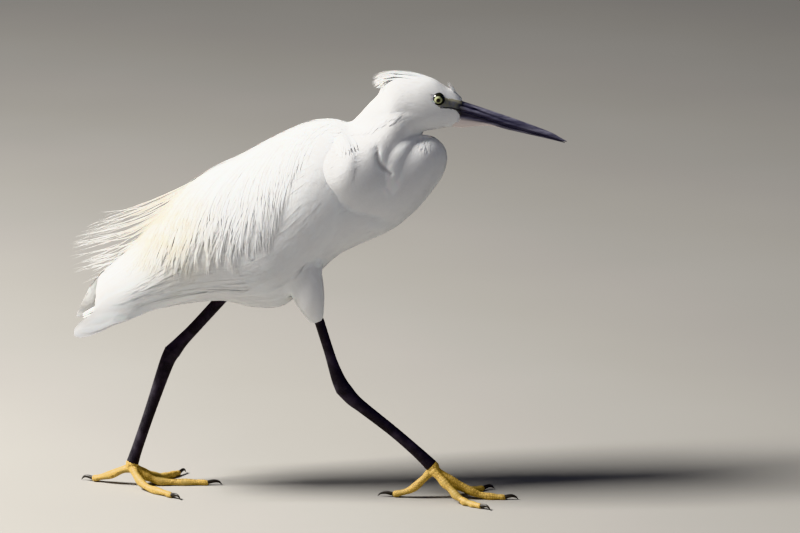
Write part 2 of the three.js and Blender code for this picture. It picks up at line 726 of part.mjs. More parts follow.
function addFoot(side) {
  const toes = TOES[side].map(({ line }) => toe(line));
  const { tarsus } = LEGS[side];
  const top = tarsus[tarsus.length - 1];
  const above = tarsus[tarsus.length - 2];
  const down = new THREE.Vector3(top[0] - above[0], 0, top[2] - above[2]).normalize();
  const at = (far, half, breadth) => [top[0] + down.x * far, top[1], top[2] + down.z * far, half, breadth];
  const heel = limb([at(-1, 4.9, 4.2), at(2, 4.9, 4.3), at(5, 3.6, 3.4)], LEFT, 8, 2);
  const taken = belowFloor.add(limb(tarsus, LEFT, 8, 7, SEAM));
  addNode(`foot_${side}`, largest(joined([heel, ...toes]).subtract(taken)), TOE_YELLOW);
  for (const { name, line, claw: tip } of TOES[side]) {
    addNode(`claw_${side}_${name}`, claw(line, tip), CLAW_BLACK);
  }
}

const bodySkin = ladderSolid(body, 0, REAR_CUT, 16, 16, SEAM + 0.1);
const fleshParts = bodyParts();
const sockets = SIDES.map(({ sign }) => ball(EYE, EYE_RADIUS + SEAM, sign, 12, 8));

const relief = [...crest(), ...forelock(), ...SIDES.map(({ sign }) => lid(sign))];
const carved = wasm.Manifold.union([...sockets, ...SIDES.map(({ sign }) => gape(sign))]);
addNode("head", largest(joined([fleshParts.head, ...relief]).subtract(carved)), FEATHER);
for (const { name, sign } of SIDES) addNode(`eye_${name}`, ball(EYE, EYE_RADIUS, sign, 12, 8), EYE_YELLOW);
const nostrils = wasm.Manifold.union(SIDES.map(({ sign }) => nostril(sign)));
addNode("bill_upper", billHalf(BILL_UPPER, 1).subtract(nostrils), BILL_BLACK);
addNode("bill_lower", billHalf(BILL_LOWER, -1), BILL_BLACK);
addNode("neck_upper", fleshParts.neckUpper, FEATHER);
addNode("neck_lower", fleshParts.neckLower, FEATHER);
addNode("torso", fleshParts.torso, FEATHER);
const hanging = [...plumes(), ...SIDES.flatMap(({ sign }) => scapulars(sign))];
addNode("mantle", joined([mantleLayer(12.7, coverFloor, mantleCoreTop, 0), ...hanging]), FEATHER);
const mantleColumn = mantleLayer(12.9, roomFloor, roomTop, 0.9);
for (const { name, sign } of SIDES) {
  const plumage = joined([wingLayer(sign, coverFloor, wingCoreTop, 0), ...wingFeathers(sign)]);
  addNode(`wing_${name}`, largest(plumage.subtract(mantleColumn)), FEATHER);
}
const tailCore = ladderSolid(tailForm, 0, TAIL_RUNGS.length - 1, 6, 12);
addNode("tail", joined([tailCore, ...tailFeathers(), ...tailCoverts()]), FEATHER);
for (const { name, sign } of SIDES) {
  const covered = bodySkin.add(wingLayer(sign, roomFloor, () => 1, 1));
  const { thigh, shank, tarsus } = LEGS[name];
  const [thighRoom, shankRoom] = [limb(thigh, LEFT, 12, 8, SEAM), limb(shank, LEFT, 8, 6, SEAM)];
  addNode(`thigh_${name}`, largest(limb(thigh, LEFT, 12, 8).subtract(covered)), FEATHER);
  addNode(`shank_${name}`, largest(limb(shank, LEFT, 8, 6).subtract(thighRoom)), LEG_BLACK);
  addNode(`tarsus_${name}`, largest(limb(tarsus, LEFT, 8, 7).subtract(shankRoom)), LEG_BLACK);
  addFoot(name);
}

// The origin is under the middle of the whole bird, on the floor
const extent = new THREE.Box3().setFromObject(group);
const middle = extent.getCenter(new THREE.Vector3());
group.position.set(-middle.x, -middle.y, -extent.min.z);
group.updateMatrixWorld(true);

export default group;
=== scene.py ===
"""The looks of a life-size little egret in mid-stride: skin, plumage, face, bill, legs and studio.

Shapes are laid out in millimetres in the bird's own space: X the way it walks, Y to its left and Z up
from the floor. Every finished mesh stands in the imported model's frame, in metres.
"""

import logging
import math
from dataclasses import dataclass
from enum import Enum
from typing import Callable

import bmesh
import bpy
import numpy as np
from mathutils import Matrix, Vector
from mathutils.bvhtree import BVHTree


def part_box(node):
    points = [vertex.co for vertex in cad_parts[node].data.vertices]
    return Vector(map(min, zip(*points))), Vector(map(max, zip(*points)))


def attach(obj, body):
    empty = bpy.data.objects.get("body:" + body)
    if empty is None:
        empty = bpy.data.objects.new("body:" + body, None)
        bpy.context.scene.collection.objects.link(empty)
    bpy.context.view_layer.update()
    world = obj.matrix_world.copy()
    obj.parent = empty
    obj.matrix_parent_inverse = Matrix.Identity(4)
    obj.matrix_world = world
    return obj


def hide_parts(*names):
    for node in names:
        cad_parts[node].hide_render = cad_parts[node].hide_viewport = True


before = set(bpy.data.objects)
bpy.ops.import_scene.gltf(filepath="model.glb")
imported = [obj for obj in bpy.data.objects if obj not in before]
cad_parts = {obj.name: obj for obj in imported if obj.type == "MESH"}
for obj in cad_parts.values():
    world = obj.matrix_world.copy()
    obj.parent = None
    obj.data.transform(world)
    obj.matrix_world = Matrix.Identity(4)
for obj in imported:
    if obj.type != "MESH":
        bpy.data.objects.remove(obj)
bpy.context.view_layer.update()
LOG = logging.getLogger("little_egret")

MM = 0.001
Array = np.ndarray
Piece = bpy.types.Object
Material = bpy.types.Material
Socket = bpy.types.NodeSocket
Pair = tuple[float, float]
Pairs = tuple[Pair, ...]
Triple = tuple[float, float, float]
Rows = tuple[tuple[float, ...], ...]
Arrays = tuple[Array, Array]
Rule = Callable[[Array], Array]
Bend = Callable[[Array, Array, Array], Array]
UP = np.array([0.0, 0.0, 1.0])
LEFTWARD = np.array([0.0, 1.0, 0.0])

# Body outline from neck to tail: back x, back z, belly x, belly z, half width
BODY_RUNGS = (
    (91, 301, 125, 252, 15), (83.5, 311.5, 129, 232.5, 26.5), (69.5, 315.8, 110.5, 219.5, 36),
    (51, 313.7, 88.5, 210, 42), (31, 306.2, 69.5, 199, 45), (10, 295.4, 47.5, 176, 45.5),
    (-11.5, 283.8, 28.5, 159.5, 45), (-33, 273, 5, 157.5, 43), (-52.5, 259.5, -19.5, 163, 40),
    (-70.5, 242, -42.5, 162, 36), (-86, 223.5, -64, 158.5, 32), (-101, 206.5, -82, 154.5, 28),
    (-113, 195.5, -97, 148.5, 25), (-123, 186.5, -110, 145, 23.5), (-133, 174.5, -124.5, 139, 22.5),
    (-144.5, 160, -138, 136, 21.5), (-153, 149, -148, 136, 19),
)
# Head and upper neck, from the face backwards and down
HEAD_RUNGS = (
    (174.4, 332.5, 174, 308.6, 6.6), (168, 339, 166.5, 308.5, 8.4), (160, 344, 160, 308, 10.4),
    (151, 349.7, 152.5, 306.5, 12), (140, 353.4, 146, 305.5, 13.4), (128.5, 355.1, 140, 303.5, 14),
    (118, 354.8, 135.5, 301, 14.2), (110.5, 349, 129.5, 297.5, 14.5), (105.2, 336.9, 123, 292.5, 15),
    (96.4, 327.4, 116.5, 287.5, 16), (87.6, 317.6, 110, 281.5, 17.5), (79, 309, 103.5, 275, 19),
    (72, 300, 97, 269, 19),
)
# The lower neck folded forward in front of the breast
NECK_RUNGS = (
    (135.5, 302, 147.5, 303.5, 5), (129.5, 297.5, 154, 299.5, 11), (120.5, 290, 160.5, 292, 15),
    (113, 281.5, 162.5, 281.5, 17), (108, 271.5, 158.5, 268, 19), (102.5, 262.5, 149, 254, 22),
    (92, 256.5, 137, 239.5, 25), (82, 252, 122, 228, 25), (74, 248, 106, 226, 22),
)
# Rump, tail coverts and closed tail
TAIL_RUNGS = (
    (-97, 200, -79.5, 156, 20), (-104, 189, -90, 152, 17.5), (-112, 177.5, -101, 150, 15.5),
    (-119, 169, -112, 150.5, 14.5), (-126, 162.5, -121.5, 151, 14),
)
# The web that closes the fold between throat and lower neck: a middle line and half sizes
WEB_STOPS = (
    (139, 0, 301.4, 2.5, 6.5), (133.5, 0, 299.8, 5.5, 10), (127, 0, 295.6, 8.5, 13.5),
    (119.5, 0, 288, 12, 17), (114, 0, 278.5, 15, 19.5), (108.5, 0, 268, 17, 22), (102.5, 0, 256, 18, 24),
)
# The soft lobe over the wing's bend, from the shoulder down, with Y for the left side
WRIST_STOPS = (
    (67, 15, 304, 11, 6), (72, 22, 298, 12, 7), (76.5, 28, 288.5, 12.5, 8), (77, 32.5, 277.5, 10.5, 8.5),
    (75, 36, 267, 7, 6.5), (74, 38, 261, 3, 3),
)
# The smooth run of feathering from the neck over the shoulders
SHAWL_RUNGS = (
    (107.8, 341, 127.5, 296, 14.2), (98.6, 328.6, 122.5, 284, 17), (90.4, 318.6, 119.5, 267, 22.5),
    (80.5, 313.4, 115.5, 247.5, 30), (66.5, 315, 106.5, 228, 36.5), (51, 313.7, 92, 210, 41.5),
)
# A short fold on each side where the bent neck meets the shoulder, pressed into the skin and darkened with
# painted shade, as x and z
CREASE = (
    (104.6, 297), (104.9, 291.5), (105.7, 286.5), (107.7, 283.2), (110, 281), (112.5, 279), (115.5, 276.4),
)

# Rungs of the body where the torso's skin and the mantle end
TORSO_END = 10.6
MANTLE_END = 12.7

# Along the body's rungs: how deep the wings' and mantle's covering goes, and the wings' two edges,
# in degrees from the back
COVER_DEPTH = ((2, 6.2), (8, 7), (11, 5.2), (14, 3.6))
WING_TOP = ((2, 34), (4, 30), (10, 26), (13, 18), (16, 30))
WING_FOOT = ((2, 100), (3, 118), (4, 134), (5, 137), (6, 133), (8, 142), (10, 138), (13, 124), (16, 118))

# Upper and lower edges of the bare skin before the eye, as x and z pairs
LORE_TOP = ((150, 337.2), (154.5, 336.6), (158.7, 335.6), (168.6, 332.7), (174.9, 330.3), (178, 329))
LORE_FOOT = (
    (150, 327.6), (154.5, 327.2), (161.8, 326), (168.6, 324.7), (170.7, 321.9), (173.8, 317.4), (176, 315.5),
)

# The left eye's middle and size
EYE = np.array([154.0, 6.6, 334.2])
EYE_RADIUS = 5.4

# Where the eye looks out, a little lower than the eye's own middle
GAZE = EYE + np.array([0.1, 0.0, -0.7])

# From the bird's own space to the model's, found by where the model has the right eye
EYE_LOW, EYE_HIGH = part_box("eye_right")
SHIFT = np.array((EYE_LOW + EYE_HIGH) / 2) / MM - EYE * (1, -1, 1)


class Slot(Enum):
    """Names of material slots."""

    FEATHER = "feather"
    BILL = "bill"
    EYE = "eye"
    LEG = "leg"
    TOE = "toe"
    CLAW = "claw"


class Side(Enum):
    """The bird's two sides, each with the sign of its angles round the body."""

    RIGHT = 1
    LEFT = -1

    @property
    def label(self) -> str:
        """The side's name as the nodes spell it."""
        return self.name.lower()


# Down the wing, as shares: the rung where its core stops, short of its feather tips
WING_END = {
    Side.RIGHT: ((0, 12.2), (0.4, 12.5), (0.62, 12.7), (0.8, 13.5), (0.92, 13.8), (1, 13.2)),
    Side.LEFT: ((0, 12.9), (0.4, 13.4), (0.75, 14.2), (1, 13.4)),
}
# The same for the rung that its longest feathers reach
TIP_LINE = {
    Side.RIGHT: ((0, 13.3), (0.2, 13.5), (0.4, 13.65), (0.6, 13.9), (0.72, 14.4), (0.84, 15), (0.97, 15.1)),
    Side.LEFT: ((0, 14.1), (0.4, 14.7), (0.72, 15.4), (0.97, 14.3)),
}


def mix(a: Array | float, b: Array | float, t: Array | float) -> Array | float:
    """Goes from a to b as t goes from 0 to 1."""
    return a + (b - a) * t


def profile(pairs: Pairs, place: Array | float) -> Array | float:
    """Reads a line of place and value pairs, level beyond its ends."""
    places, values = zip(*pairs)
    return np.interp(place, places, values)


def curve(root: Array, first: Array, second: Array, tip: Array, t: Array) -> Array:
    """Points on curves that leave each root towards first and come into each tip from second.

    Args:
        root: Where the curves start, a row a curve.
        first: What they head for at their start.
        second: What they come from at their end.
        tip: Where they end.
        t: Shares of the way.

    Returns:
        A row of points a curve.
    """
    t = t[None, :, None]
    return ((1 - t) ** 3 * root[:, None] + 3 * t * (1 - t) ** 2 * first[:, None]
            + 3 * t**2 * (1 - t) * second[:, None] + t**3 * tip[:, None])


def unit(vectors: Array) -> Array:
    """Scales vectors to length 1."""
    return vectors / np.maximum(np.linalg.norm(vectors, axis=-1, keepdims=True), 1e-9)


def drift(points: Array, size: float, seed: float = 0.0) -> Array:
    """A smooth wander between -1 and 1 over space, so that neighbours lean alike.

    Args:
        points: Places in mm, with the coordinates last.
        size: Breadth of one swell in mm.
        seed: Shifts the pattern.

    Returns:
        One value a point.
    """
    x, y, z = np.moveaxis(points / size, -1, 0)
    first = np.sin(2.1 * x + 1.3 * z + seed) * np.cos(1.7 * y - 0.9 * x + 2 * seed)
    second = np.sin(3.7 * z - 2.3 * x + 3 * seed) * np.cos(2.9 * y + 1.1 * z - seed)
    return 0.6 * first + 0.4 * second


class Spline:
    """A smooth line through rows of numbers, one row at each whole place along it."""

    def __init__(self, rows: Rows) -> None:
        """Keeps the rows with one more beyond each end.

        Args:
            rows: The rows, all of one length.
        """
        table = np.array(rows, float)
        self.last = len(table) - 1
        self.knots = np.vstack([2 * table[0] - table[1], table, 2 * table[-1] - table[-2]])

    def at(self, place: Array) -> Array:
        """Reads the line.

        Args:
            place: Places along it, held between 0 and the last.

        Returns:
            The row at each place.
        """
        place = np.clip(place, 0, self.last)
        i = np.minimum(place.astype(int), self.last - 1)
        t = (place - i)[..., None]
        a, b, c, d = (self.knots[i + k] for k in range(4))
        out, back = (c - a) / 2, (d - b) / 2
        return ((2 * t**3 - 3 * t**2 + 1) * b + (t**3 - 2 * t**2 + t) * out
                + (3 * t**2 - 2 * t**3) * c + (t**3 - t**2) * back)


class Strip(Enum):
    """The strip that each form takes on the coats' unwrap."""

    BODY = 0
    HEAD = 1
    NECK = 2
    TAIL = 3
    LEG_RIGHT = 4
    LEG_LEFT = 5
    WRIST_RIGHT = 6
    WRIST_LEFT = 7


class Form:
    """A rounded form with a place along it and an angle round it."""

    last: float
    strip: Strip

    def spot(self, u: Array, angle: Array) -> Array:
        """Where roots lie on the coats' unwrap.

        Args:
            u: Their places along the form.
            angle: Their angles round it.

        Returns:
            A spot for each.
        """
        turn = (angle / (2 * math.pi) + 0.5) % 1
        across = (self.strip.value + 0.04 + 0.92 * np.clip(u / self.last, 0, 1)) / len(Strip)
        return np.stack([across, 0.01 + 0.98 * turn], axis=-1)

    def skin(self, u: Array, angle: Array) -> Array:
        """The surface at a place and an angle."""
        raise NotImplementedError

    def core(self, u: Array) -> Array:
        """The middle of the form at a place."""
        raise NotImplementedError

    def normal(self, u: Array, angle: Array) -> Array:
        """The outward direction.

        Args:
            u: Places along the form.
            angle: Angles round it.

        Returns:
            A direction of length 1 for each.
        """
        step = 0.02 * self.last / 16
        along = self.skin(np.minimum(u + step, self.last), angle) - self.skin(np.maximum(u - step, 0), angle)
        across = self.skin(u, angle + 0.02) - self.skin(u, angle - 0.02)
        out = unit(np.cross(across, along))
        away = np.sum(out * (self.skin(u, angle) - self.core(u)), axis=-1, keepdims=True)
        return np.where(away < 0, -out, out)

    def point(self, u: Array, angle: Array, lift: Array | float) -> Array:
        """A point lifted off the surface by so many mm."""
        lift = np.broadcast_to(lift, np.broadcast(u, angle).shape)
        return self.skin(u, angle) + self.normal(u, angle) * lift[..., None]

    def rates(self, u: Array, angle: Array) -> Arrays:
        """How fast the surface runs.

        Args:
            u: Places along the form.
            angle: Angles round it.

        Returns:
            The mm along it for one unit of place, and round it for one radian.
        """
        step = 0.02
        along = self.skin(np.minimum(u + step, self.last), angle) - self.skin(np.maximum(u - step, 0), angle)
        across = self.skin(u, angle + step) - self.skin(u, angle - step)
        return np.linalg.norm(along, axis=-1) / (2 * step), np.linalg.norm(across, axis=-1) / (2 * step)


class Ladder(Form):
    """A form strung between a back line and a belly line.

    Its angle is 0 on the back, 90 degrees on the bird's right side and 180 on the belly.
    """

    def __init__(self, rungs: Rows, strip: Strip, fullness: float = 0.0) -> None:
        """Keeps the rungs.

        Args:
            rungs: Rows of back x and z, belly x and z, and half width.
            strip: Its strip of the unwrap.
            fullness: How much fuller than an oval the section is.
        """
        self.line = Spline(rungs)
        self.last = self.line.last
        self.strip, self.fullness = strip, fullness

    def core(self, u: Array) -> Array:
        """The middle of each rung.

        Args:
            u: Rungs, and shares between them.

        Returns:
            A point for each.
        """
        row = self.line.at(np.asarray(u, float))
        zero = np.zeros(row.shape[:-1])
        return np.stack([(row[..., 0] + row[..., 2]) / 2, zero, (row[..., 1] + row[..., 3]) / 2], axis=-1)

    def skin(self, u: Array, angle: Array) -> Array:
        """The surface.

        Args:
            u: Rungs, and shares between them.
            angle: Angles from the back.

        Returns:
            A point for each.
        """
        u, angle = np.broadcast_arrays(np.asarray(u, float), np.asarray(angle, float))
        row = self.line.at(u)
        full = 1 + self.fullness * np.sin(2 * angle) ** 2
        rise = np.stack([row[..., 0] - row[..., 2], 0 * u, row[..., 1] - row[..., 3]], axis=-1) / 2
        out = rise * (np.cos(angle) * full)[..., None]
        out[..., 1] -= row[..., 4] * np.sin(angle) * full
        return self.core(u) + out


class Limb(Form):
    """A round limb along a smooth line; its angle is 0 towards the reference direction."""

    def __init__(self, stops: Rows, reference: Array, strip: Strip = Strip.NECK) -> None:
        """Keeps the stops.

        Args:
            stops: Rows of x, y, z and half the limb's size across the reference and along it.
            reference: The direction of angle 0.
            strip: Its strip of the unwrap, where it has a coat.
        """
        self.line = Spline(stops)
        self.last = self.line.last
        self.reference, self.strip = reference, strip

    def core(self, u: Array) -> Array:
        """The limb's middle line."""
        return self.line.at(np.asarray(u, float))[..., :3]

    def skin(self, u: Array, angle: Array) -> Array:
        """The surface.

        Args:
            u: Places along the limb.
            angle: Angles from the reference.

        Returns:
            A point for each.
        """
        u, angle = np.broadcast_arrays(np.asarray(u, float), np.asarray(angle, float))
        row = self.line.at(u)
        ahead = unit(self.core(np.minimum(u + 0.02, self.last)) - self.core(np.maximum(u - 0.02, 0)))
        side = unit(np.cross(ahead, self.reference))
        over = np.cross(side, ahead)
        return (row[..., :3] + side * (np.sin(angle) * row[..., 3])[..., None]
                + over * (np.cos(angle) * row[..., 4])[..., None])


BODY = Ladder(BODY_RUNGS, Strip.BODY, 0.03)
SHAWL = Ladder(SHAWL_RUNGS, Strip.BODY)
HEAD = Ladder(HEAD_RUNGS, Strip.HEAD)
NECK = Ladder(NECK_RUNGS, Strip.NECK)
WEB = Limb(WEB_STOPS, LEFTWARD, Strip.NECK)
TAIL = Ladder(TAIL_RUNGS, Strip.TAIL)


def wrist_limb(side: Side) -> Limb:
    """The lobe over one wing's bend."""
    stops = tuple((x, -side.value * y, z, a, b) for x, y, z, a, b in WRIST_STOPS)
    return Limb(stops, LEFTWARD, Strip[f"WRIST_{side.name}"])


def only(*objects: Piece) -> None:
    """Selects some objects alone.

    Args:
        objects: The objects; the first becomes active.
    """
    bpy.ops.object.select_all(action="DESELECT")
    for obj in objects:
        obj.select_set(True)
    bpy.context.view_layer.objects.active = objects[0]


def primitive(name: str, add: Callable[..., object], **settings: object) -> Piece:
    """Adds a primitive and names it.

    Args:
        name: Its name.
        add: The operator that adds it.
        settings: The operator's settings.

    Returns:
        The object.
    """
    add(**settings)
    obj = bpy.context.object
    obj.name = name
    return obj


def read(items: bpy.types.bpy_prop_collection, key: str, width: int = 3,
         kind: type = np.float32) -> Array:
    """Reads one property of a mesh's items.

    Args:
        items: Its vertices, edges or normals.
        key: The property's name.
        width: How many numbers an item has.
        kind: The numbers' type.

    Returns:
        A row an item.
    """
    values = np.empty(len(items) * width, kind)
    items.foreach_get(key, values)
    return values.reshape(-1, width)


def settle(mesh: bpy.types.Mesh, spots: Array) -> None:
    """Moves a mesh's vertices to places in the bird's space."""
    mesh.vertices.foreach_set("co", ((spots + SHIFT) * MM).astype(np.float32).ravel())
    mesh.update()


def shape(obj: Piece, rule: Rule) -> None:
    """Sends each vertex of an object at the origin where the rule says, in the bird's space."""
    settle(obj.data, rule(read(obj.data.vertices, "co").astype(float)))


def mark(mesh: bpy.types.Mesh, **marks: Array) -> None:
    """Gives the vertices numbers that the finishes read.

    Args:
        mesh: The piece's mesh.
        marks: One number a vertex, under each name.
    """
    for name, values in marks.items():
        tag = mesh.attributes.new(name, "FLOAT", "POINT")
        tag.data.foreach_set("value", values.astype(np.float32))


def cut_edges(obj: Piece, cuts: int, chosen: Callable[[bmesh.types.BMEdge], bool]) -> None:
    """Subdivides some edges in edit mode.

    Args:
        obj: The object.
        cuts: Cuts to an edge.
        chosen: Says whether an edge is cut.
    """
    only(obj)
    bpy.ops.object.mode_set(mode="EDIT")
    bpy.ops.mesh.select_mode(type="EDGE")
    bpy.ops.mesh.select_all(action="DESELECT")
    work = bmesh.from_edit_mesh(obj.data)
    for edge in work.edges:
        edge.select_set(chosen(edge))
    bmesh.update_edit_mesh(obj.data)
    bpy.ops.mesh.subdivide(number_cuts=cuts)
    bpy.ops.object.mode_set(mode="OBJECT")


def tube(name: str, sides: int, rings: int, rule: Bend) -> Piece:
    """A cylinder cut into rings and bent over a form.

    Args:
        name: The piece's name.
        sides: Faces round it.
        rings: Faces along it.
        rule: Takes the share along, the angle and 1 on the wall or 0 at a lid's centre.

    Returns:
        The closed tube.
    """
    obj = primitive(name, bpy.ops.mesh.primitive_cylinder_add, vertices=sides, end_fill_type="TRIFAN")
    cut_edges(obj, rings - 1, lambda e: abs(e.verts[0].co.z - e.verts[1].co.z) > 1)
    shape(obj, lambda co: rule((1 - co[:, 2]) / 2, np.arctan2(co[:, 0], co[:, 1]),
                                     np.hypot(co[:, 0], co[:, 1]).round()))
    face_out(obj)
    return obj


def sleeve(name: str, sides: int, rings: int, limb: Form) -> Piece:
    """A tube over the whole of a limb."""
    return tube(name, sides, rings, lambda along, angle, wall: np.where(
        wall[:, None] > 0, limb.skin(along * limb.last, angle), limb.core(along * limb.last)))


def slab(name: str, cuts: int, rule: Bend) -> Piece:
    """A cube cut into a fine slab and bent over a form.

    Args:
        name: The piece's name.
        cuts: Cuts along its length and breadth.
        rule: Takes the share along, the share across and 1 on the outer face or 0 on the inner.

    Returns:
        The closed slab.
    """
    obj = primitive(name, bpy.ops.mesh.primitive_cube_add)
    for axis in (0, 1):
        cut_edges(obj, cuts, lambda e: abs(e.verts[0].co[axis] - e.verts[1].co[axis]) > 1)
    shape(obj, lambda co: rule((co[:, 0] + 1) / 2, (co[:, 1] + 1) / 2, (co[:, 2] + 1) / 2))
    face_out(obj)
    return obj


def face_out(obj: Piece) -> None:
    """Turns every face outwards.

    Args:
        obj: A closed piece.
    """
    only(obj)
    bpy.ops.object.mode_set(mode="EDIT")
    bpy.ops.mesh.select_all(action="SELECT")
    bpy.ops.mesh.normals_make_consistent(inside=False)
    bpy.ops.object.mode_set(mode="OBJECT")


def modify(obj: Piece, kind: str, **settings: object) -> None:
    """Adds a modifier and applies it.

    Args:
        obj: The piece.
        kind: The modifier's type.
        settings: Its settings.
    """
    only(obj)
    modifier = obj.modifiers.new(kind.title(), kind)
    for key, value in settings.items():
        setattr(modifier, key, value)
    bpy.ops.object.modifier_apply(modifier=modifier.name)


def joined(name: str, parts: list[Piece]) -> Piece:
    """Joins objects.

    Args:
        name: The piece's name.
        parts: The objects.

    Returns:
        The piece.
    """
    only(*parts)
    bpy.ops.object.join()
    parts[0].name = name
    return parts[0]


def smooth(obj: Piece) -> None:
    """Shades a piece smooth."""
    only(obj)
    bpy.ops.object.shade_smooth()


def rounded(obj: Piece) -> Piece:
    """Rounds a piece by one subdivision.

    Args:
        obj: The piece.

    Returns:
        The same piece, shaded smooth.
    """
    modify(obj, "SUBSURF", levels=1, render_levels=1)
    smooth(obj)
    return obj


def mount(obj: Piece, material: Material, slot: Slot, *nodes: str) -> None:
    """Gives a finished piece its material and its place in the frame.

    Args:
        obj: The piece.
        material: Its finish.
        slot: Not used.
        nodes: The CAD nodes that it stands for.
    """
    obj.data.materials.clear()
    obj.data.materials.append(material)
    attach(obj, "root")
    if nodes:
        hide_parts(*nodes)
    LOG.info("%s: %d faces", obj.name, len(obj.data.polygons))


class Paint:
    """A material whose nodes are added one at a time round a Principled shader."""

    def __init__(self, name: str, **constants: object) -> None:
        """Starts the material.

        Args:
            name: Its name.
            constants: Values on the shader's own sockets, named with _ for a space.
        """
        self.material = bpy.data.materials.new(name)
        self.material.use_nodes = True
        self.tree = self.material.node_tree
        self.shader = self.tree.nodes["Principled BSDF"]
        for socket, value in constants.items():
            self.shader.inputs[socket.replace("_", " ")].default_value = value

    def add(self, kind: str, inputs: dict[str | int, object] | None = None,
            **settings: object) -> bpy.types.Node:
        """Adds a node.

        Args:
            kind: The node's type.
            inputs: Values or sockets for its inputs.
            settings: Values for its own properties.

        Returns:
            The node.
        """
        node = self.tree.nodes.new(kind)
        for key, value in settings.items():
            setattr(node, key, value)
        for key, value in (inputs or {}).items():
            if isinstance(value, Socket):
                self.tree.links.new(value, node.inputs[key])
            else:
                node.inputs[key].default_value = value
        return node

    def place(self) -> Socket:
        """Object coordinates, in metres."""
        return self.add("ShaderNodeTexCoord").outputs["Object"]

    def tag(self, name: str) -> Socket:
        """A number that the mesh carries."""
        return self.add("ShaderNodeAttribute", attribute_name=name).outputs["Fac"]

    def noise(self, scale: float, detail: float = 4, vector: Socket | None = None) -> Socket:
        """Soft noise over object coordinates, so many swells a metre."""
        inputs = {"Vector": vector or self.place(), "Scale": scale, "Detail": detail}
        return self.add("ShaderNodeTexNoise", inputs).outputs["Fac"]

    def span(self, value: Socket, low: float, high: float, start: float = 0,
             end: float = 1) -> Socket:
        """Maps low to high onto start to end, with smooth ends."""
        inputs = {"Value": value, "From Min": low, "From Max": high, "To Min": start, "To Max": end}
        return self.add("ShaderNodeMapRange", inputs, interpolation_type="SMOOTHSTEP").outputs["Result"]

    def near(self, centre: Triple, reach: Triple) -> Socket:
        """How near a place is to a centre: 1 there, and 0 from the reach onwards.

        Args:
            centre: A point in the bird's space, in mm.
            reach: How far the patch goes along X, Y and Z, in mm.

        Returns:
            The share.
        """
        away = self.distance(np.array(centre), Vector(1 / (r * MM) for r in reach))
        return self.span(away, 0, 1, 1, 0)

    def distance(self, centre: Array, scale: Vector | Triple) -> Socket:
        """How far a place is from a centre.

        Args:
            centre: A point in the bird's space, in mm.
            scale: What distances along X, Y and Z, in metres, are multiplied by.

        Returns:
            The scaled distance.
        """
        off = self.vector("SUBTRACT", self.place(), Vector((centre + SHIFT) * MM)).outputs[0]
        return self.vector("LENGTH", self.vector("MULTIPLY", off, scale).outputs[0]).outputs["Value"]

    def vector(self, operation: str, *values: object) -> bpy.types.Node:
        """One step of arithmetic on vectors."""
        return self.add("ShaderNodeVectorMath", dict(enumerate(values)), operation=operation)

    def sum(self, operation: str, *values: object) -> Socket:
        """One step of arithmetic."""
        return self.add("ShaderNodeMath", dict(enumerate(values)), operation=operation).outputs[0]

    def blend(self, share: Socket | float, first: object, second: object,
              mode: str = "MIX") -> Socket:
        """Blends two colours.

        Args:
            share: How much of the second there is.
            first: The first colour.
            second: The second colour.
            mode: How they blend.

        Returns:
            The blend.
        """
        node = self.add("ShaderNodeMix", data_type="RGBA", blend_type=mode)
        for index, value in ((0, share), (6, first), (7, second)):
            if isinstance(value, Socket):
                self.tree.links.new(value, node.inputs[index])
            else:
                node.inputs[index].default_value = (*value, 1) if index else value
        return node.outputs[2]

    def colour(self, socket: Socket) -> None:
        """Sets the base colour."""
        self.tree.links.new(socket, self.shader.inputs["Base Color"])

    def roughness(self, socket: Socket) -> None:
        """Sets the roughness."""
        self.tree.links.new(socket, self.shader.inputs["Roughness"])

    def bump(self, height: Socket, distance_mm: float, strength: float = 1.0) -> None:
        """Raises the surface.

        Args:
            height: The height, from 0 to 1.
            distance_mm: What a height of 1 stands for.
            strength: How much of it shows.
        """
        inputs = {"Height": height, "Distance": distance_mm * MM, "Strength": strength}
        node = self.add("ShaderNodeBump", inputs)
        self.tree.links.new(node.outputs["Normal"], self.shader.inputs["Normal"])


